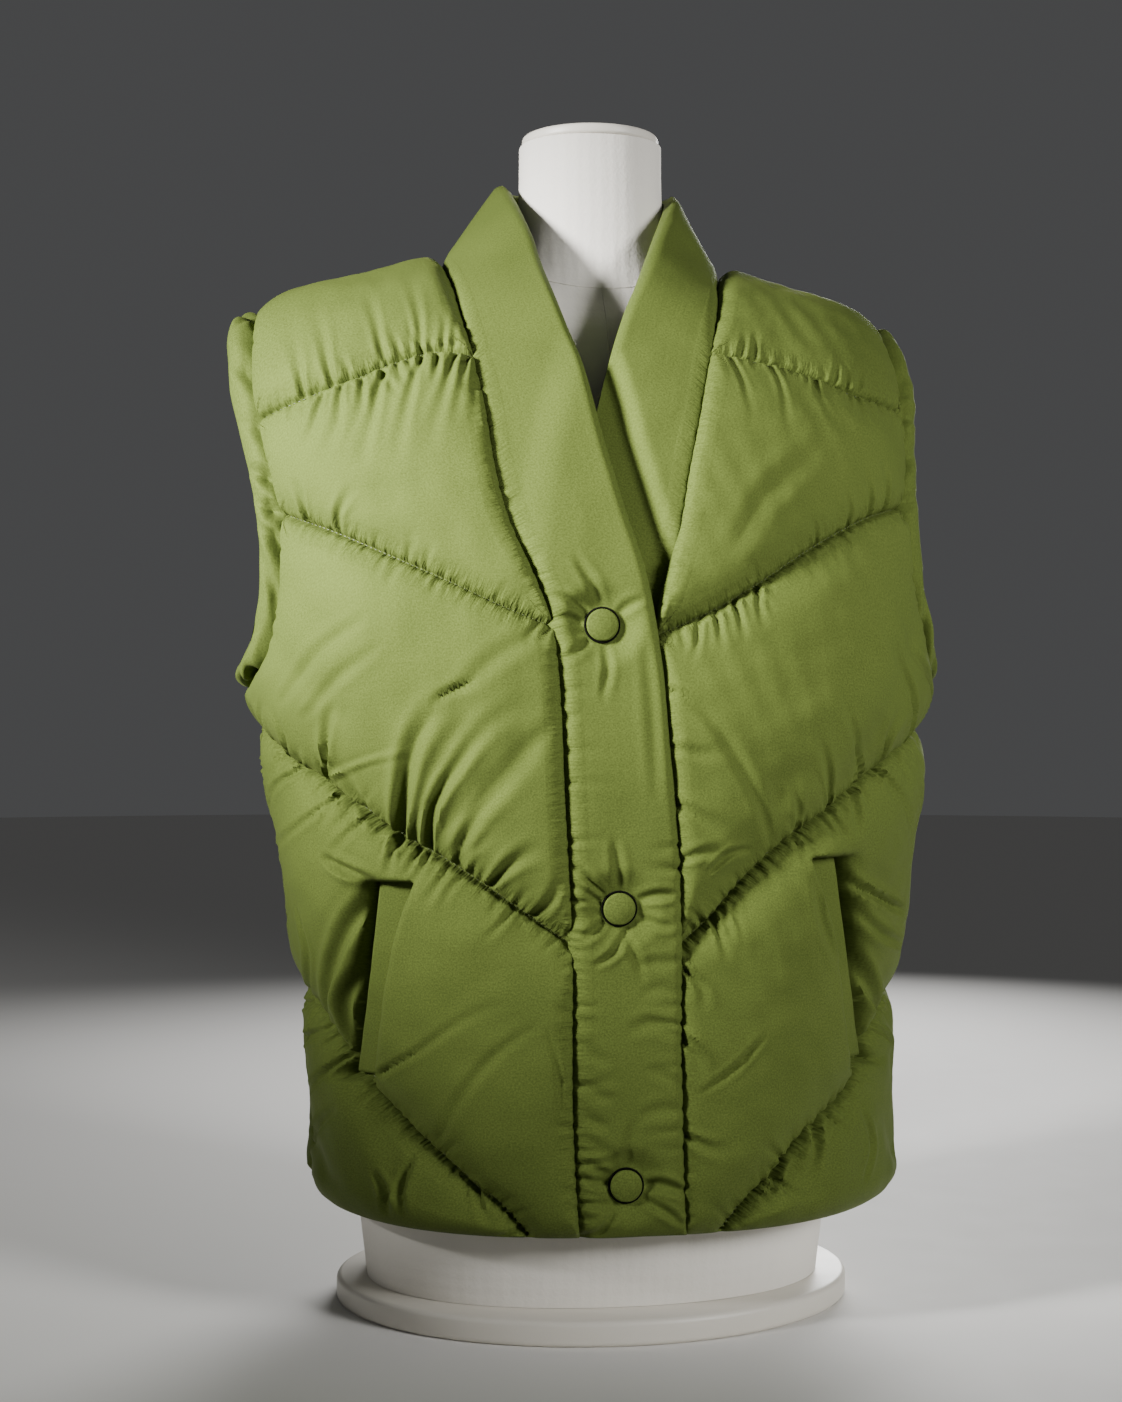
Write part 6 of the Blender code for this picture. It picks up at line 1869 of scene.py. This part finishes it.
def build_stitching():
    stitch = one_stitch()
    for name, (thing, stitches) in PANELS.items():
        tree = BVHTree.FromObject(thing, bpy.context.evaluated_depsgraph_get())
        bm = bmesh.new()
        for _, curve in stitches:
            sew(bm, curve, tree, stitch)
        settle(f"{name}_stitches", bm, "thread")
    bpy.data.meshes.remove(stitch)


# ---- the dress form
FORM_FINE_RINGS = 150
FORM_FINE_SIDES = 128
NECK_SEAM_LEVEL = 15.7  # the levels are those of the FORM table
FRONT_SEAM = np.linspace(11.2, NECK_SEAM_LEVEL, 60)
LEAN_LEVELS = (9, 8)  # the form leans to its neck from this level, over so many
SEAM_CORD = 0.0006
SEAM_SIDES = 6
BOARD_SIDES = 160


def edge_loop(bm, points):
    """A closed loop of edges through the given points."""
    verts = [bm.verts.new(point) for point in points]
    return [bm.edges.new(pair) for pair in zip(verts, verts[1:] + verts[:1])]


def skin_over(bm, loops, ends):
    """Faces from each loop of edges to the next, and over the loops at the ends."""
    for low, high in zip(loops, loops[1:]):
        bmesh.ops.bridge_loops(bm, edges=low + high)
    for end in ends:
        bmesh.ops.contextual_create(bm, geom=end)
    bmesh.ops.recalc_face_normals(bm, faces=bm.faces)


def form_ring(level, angle):
    """One ring of the form's skin."""
    half = FORM.at("half", level)
    reach_x = np.sign(np.sin(angle)) * np.abs(np.sin(angle)) ** (2 / FORM_ROUNDNESS)
    reach_y = -np.sign(np.cos(angle)) * np.abs(np.cos(angle)) ** (2 / FORM_ROUNDNESS)
    deep = np.where(reach_y < 0, FORM.at("front", level), FORM.at("back", level))
    end_z = np.where(reach_y < 0, FORM.at("front_z", level), FORM.at("back_z", level))
    share = reach_y ** 2
    z = FORM.at("side_z", level) * (1 - share) + end_z * share
    lean = FORM_NECK_Y * smooth_step((level - LEAN_LEVELS[0]) / LEAN_LEVELS[1])
    points = np.stack([half * reach_x, lean + deep * reach_y, z], axis=-1)
    if half > CLIPPED_OVER:
        proud = body_depth(points) > -FORM_CLEAR
        points[proud] = on_body(points[proud], -FORM_CLEAR)
    return points


def build_form():
    levels = np.linspace(0, FORM.rows[-1, 0], FORM_FINE_RINGS)
    angle = np.linspace(0, 2 * pi, FORM_FINE_SIDES + 1)[:-1]
    bm = bmesh.new()
    loops = [edge_loop(bm, form_ring(level, angle)) for level in levels]
    skin_over(bm, loops, (loops[0], loops[-1]))
    settle("form_canvas", bm, "canvas", nodes=("form_torso",))
    seams = bmesh.new()
    neck = form_ring(NECK_SEAM_LEVEL, angle)
    sew_line(seams, np.vstack([neck, neck[:1]]))
    sew_line(seams, np.array([form_ring(level, np.array([0.0]))[0] for level in FRONT_SEAM]))
    settle("form_seams", seams, "canvas")


def sew_line(bm, path):
    """A thin raised seam edge along a path: a ring of verts carried along it."""
    tangents = unit(np.gradient(path, axis=0))
    closed = np.allclose(path[0], path[-1])
    if closed:
        tangents[0] = tangents[-1] = unit(path[1] - path[-2])
    loops = []
    for spot, tangent in zip(path[:-1] if closed else path, tangents):
        side = unit(np.cross(tangent, [0.0, 0.0, 1.0]) + 1e-9)
        up = np.cross(side, tangent)
        turns = [2 * pi * k / SEAM_SIDES for k in range(SEAM_SIDES)]
        loops.append(edge_loop(bm, [spot + SEAM_CORD * (cos(turn) * side + sin(turn) * up)
                                    for turn in turns]))
    if closed:
        skin_over(bm, loops + loops[:1], ())
    else:
        skin_over(bm, loops, (loops[0], loops[-1]))


def eased_board(name, half, low, high, ease, y, node):
    bm = bmesh.new()
    bmesh.ops.create_cone(bm, cap_ends=True, segments=BOARD_SIDES, radius1=1,
                          radius2=1, depth=1)
    bmesh.ops.scale(bm, vec=(half[0], half[1], high - low), verts=bm.verts)
    bmesh.ops.translate(bm, vec=(0, y, (low + high) / 2), verts=bm.verts)
    rim = [edge for edge in bm.edges if abs(edge.verts[0].co.z - edge.verts[1].co.z) < CELL_LIMIT]
    bmesh.ops.bevel(bm, geom=rim, offset=ease, segments=5, profile=0.5, affect="EDGES",
                    material=-1)
    bmesh.ops.recalc_face_normals(bm, faces=bm.faces)
    settle(name, bm, "board", sharp=40, nodes=(node,))


# ---- stage
FLOOR_RADIUS = 7.0
STUDIO_LIGHT = 0.10

# Name, place, what it points at, diameter, spread in degrees and power of the studio lamps.
LAMPS = [
    ("key", (-1.38, -0.66, 0.96), (-0.16, -0.15, 0.60), 0.34, 32, 5.7),
    ("fill", (1.3, -1.4, 0.96), (0.15, -0.15, 0.49), 0.7, 42, 3.3),
    ("back", (0.7, 1.9, 0.9), (0.0, 0.0, 0.4), 1.2, 110, 22.0),
]


def build_stage():
    floor = bmesh.new()
    bmesh.ops.create_circle(floor, cap_ends=True, segments=96, radius=FLOOR_RADIUS)
    mesh = bpy.data.meshes.new("floor")
    floor.to_mesh(mesh)
    floor.free()
    thing = bpy.data.objects.new("floor", mesh)
    bpy.context.scene.collection.objects.link(thing)
    mesh.materials.append(paint("floor"))
    world = bpy.data.worlds.new("studio")
    bpy.context.scene.world = world
    world.use_nodes = True
    back = world.node_tree.nodes["Background"]
    back.inputs["Color"].default_value = linear(STUDIO)
    back.inputs["Strength"].default_value = STUDIO_LIGHT
    for name, place, target, size, cone, power in LAMPS:
        lamp = bpy.data.lights.new(name, "AREA")
        lamp.shape = "DISK"
        lamp.size = size
        lamp.energy = power
        lamp.spread = radians(cone)
        light = bpy.data.objects.new(name, lamp)
        light.location = place
        aim = Vector(target) - Vector(place)
        light.rotation_euler = aim.to_track_quat("-Z", "Y").to_euler()
        bpy.context.scene.collection.objects.link(light)
    lens = bpy.data.cameras.new("camera")
    lens.sensor_fit = "VERTICAL"
    lens.sensor_height = SENSOR
    lens.lens = FOCAL / IMAGE[1] * SENSOR
    camera = bpy.data.objects.new("camera", lens)
    camera.location = Vector(EYE) + PLACE
    camera.rotation_euler = Vector(AHEAD).to_track_quat("-Z", "Y").to_euler()
    bpy.context.scene.collection.objects.link(camera)
    bpy.context.scene.camera = camera


# ---- add-on
GRIDS = {}  # the panels' points, for the bands that are sewn to them


def metres_prop(name, description, default, least):
    return FloatProperty(name=name, description=description, default=default, min=least,
                         subtype="DISTANCE", unit="LENGTH")


def share_prop(name, description, most):
    return FloatProperty(name=name, description=description, default=1.0, min=0.0, max=most,
                         subtype="FACTOR")


def colour_prop(name, description, code):
    return FloatVectorProperty(name=name, description=description, size=4, min=0.0, max=1.0,
                               default=linear(code), subtype="COLOR")


class VestSizes(bpy.types.PropertyGroup):
    """Sizes of the sewing that a user may change."""
    stitch_length: metres_prop("Stitch", "Length of a quilting stitch", 0.0026, 0.001)
    stitch_gap: metres_prop("Stitch gap", "Cloth between two stitches", 0.0009, 0.0002)
    thread_width: metres_prop("Thread", "Half width of the thread", 0.00036, 0.0001)
    pucker_depth: share_prop("Gathers", "Depth of the gathers, 1 as sewn", 2.0)
    crease_depth: share_prop("Creases", "Depth of the creases, 1 as worn", 1.5)


class VestColours(bpy.types.PropertyGroup):
    """Colours of the finishes."""
    green: colour_prop("Cloth", "The vest's cloth", GREEN)
    green_dark: colour_prop("Cloth, dark", "Darker parts of the dye", GREEN_DARK)
    canvas: colour_prop("Canvas", "The form's cover", CANVAS)
    board: colour_prop("Board", "Paint of the board and neck cap", PAINT)


def sizes():
    return bpy.context.scene.vest_sizes


def colours():
    return bpy.context.scene.vest_colours


class VEST_OT_panels(bpy.types.Operator):
    """Build the two quilted fronts and the quilted back"""
    bl_idname = "vest.panels"
    bl_label = "Quilted panels"

    def execute(self, context):
        GRIDS["right"] = build_front(-1)
        GRIDS["left"] = build_front(1)
        GRIDS["back"] = build_back()
        return {"FINISHED"}


class VEST_OT_bands(bpy.types.Operator):
    """Build the shawl band and its covered snap caps"""
    bl_idname = "vest.bands"
    bl_label = "Shawl band"

    def execute(self, context):
        build_under_band(GRIDS["left"])
        build_caps(build_over_band(GRIDS["right"]))
        return {"FINISHED"}


class VEST_OT_armholes(bpy.types.Operator):
    """Build the padded armhole bands"""
    bl_idname = "vest.armholes"
    bl_label = "Armhole bands"

    def execute(self, context):
        build_cuff(-1, GRIDS["right"], GRIDS["back"])
        build_cuff(1, GRIDS["left"], GRIDS["back"])
        return {"FINISHED"}


class VEST_OT_welts(bpy.types.Operator):
    """Build the pocket welts"""
    bl_idname = "vest.welts"
    bl_label = "Pocket welts"

    def execute(self, context):
        build_welt(-1)
        build_welt(1)
        return {"FINISHED"}


class VEST_OT_stitching(bpy.types.Operator):
    """Sew the quilting lines"""
    bl_idname = "vest.stitching"
    bl_label = "Stitching"

    def execute(self, context):
        build_stitching()
        return {"FINISHED"}


class VEST_OT_form(bpy.types.Operator):
    """Build the canvas dress form, its neck cap and its board"""
    bl_idname = "vest.form"
    bl_label = "Dress form"

    def execute(self, context):
        build_form()
        eased_board("form_cap_top", (NECK_CAP_HALF, NECK_CAP_HALF), NECK_TOP + SEAM_GAP,
                    NECK_TOP + NECK_CAP_THICK, NECK_CAP_BEVEL, FORM_NECK_Y, "form_neck_cap")
        eased_board("form_board", BOARD_HALF, 0.0, BOARD_THICK, BOARD_BEVEL, 0.0, "form_base")
        return {"FINISHED"}


class VEST_OT_stage(bpy.types.Operator):
    """Build the floor, lamps and camera"""
    bl_idname = "vest.stage"
    bl_label = "Stage"

    def execute(self, context):
        build_stage()
        return {"FINISHED"}


class VEST_PT_sidebar(bpy.types.Panel):
    """Lists the steps that build the vest"""
    bl_idname = "VEST_PT_sidebar"
    bl_label = "Puffer vest"
    bl_space_type = "VIEW_3D"
    bl_region_type = "UI"
    bl_category = "Vest"

    def draw(self, context):
        for group in (context.scene.vest_sizes, context.scene.vest_colours):
            for name in group.bl_rna.properties.keys():
                if name not in ("rna_type", "name"):
                    self.layout.prop(group, name)
        for step in STEPS:
            self.layout.operator(step.bl_idname)


STEPS = (VEST_OT_panels, VEST_OT_bands, VEST_OT_armholes, VEST_OT_welts, VEST_OT_stitching,
         VEST_OT_form, VEST_OT_stage)
CLASSES = (VestSizes, VestColours, *STEPS, VEST_PT_sidebar)


def register():
    for kind in CLASSES:
        bpy.utils.register_class(kind)
    bpy.types.Scene.vest_sizes = PointerProperty(type=VestSizes)
    bpy.types.Scene.vest_colours = PointerProperty(type=VestColours)


def unregister():
    del bpy.types.Scene.vest_colours
    del bpy.types.Scene.vest_sizes
    for kind in reversed(CLASSES):
        bpy.utils.unregister_class(kind)


def main():
    register()
    for step in STEPS:
        group, call = step.bl_idname.split(".")
        getattr(getattr(bpy.ops, group), call)()


if __name__ == "__main__":
    main()
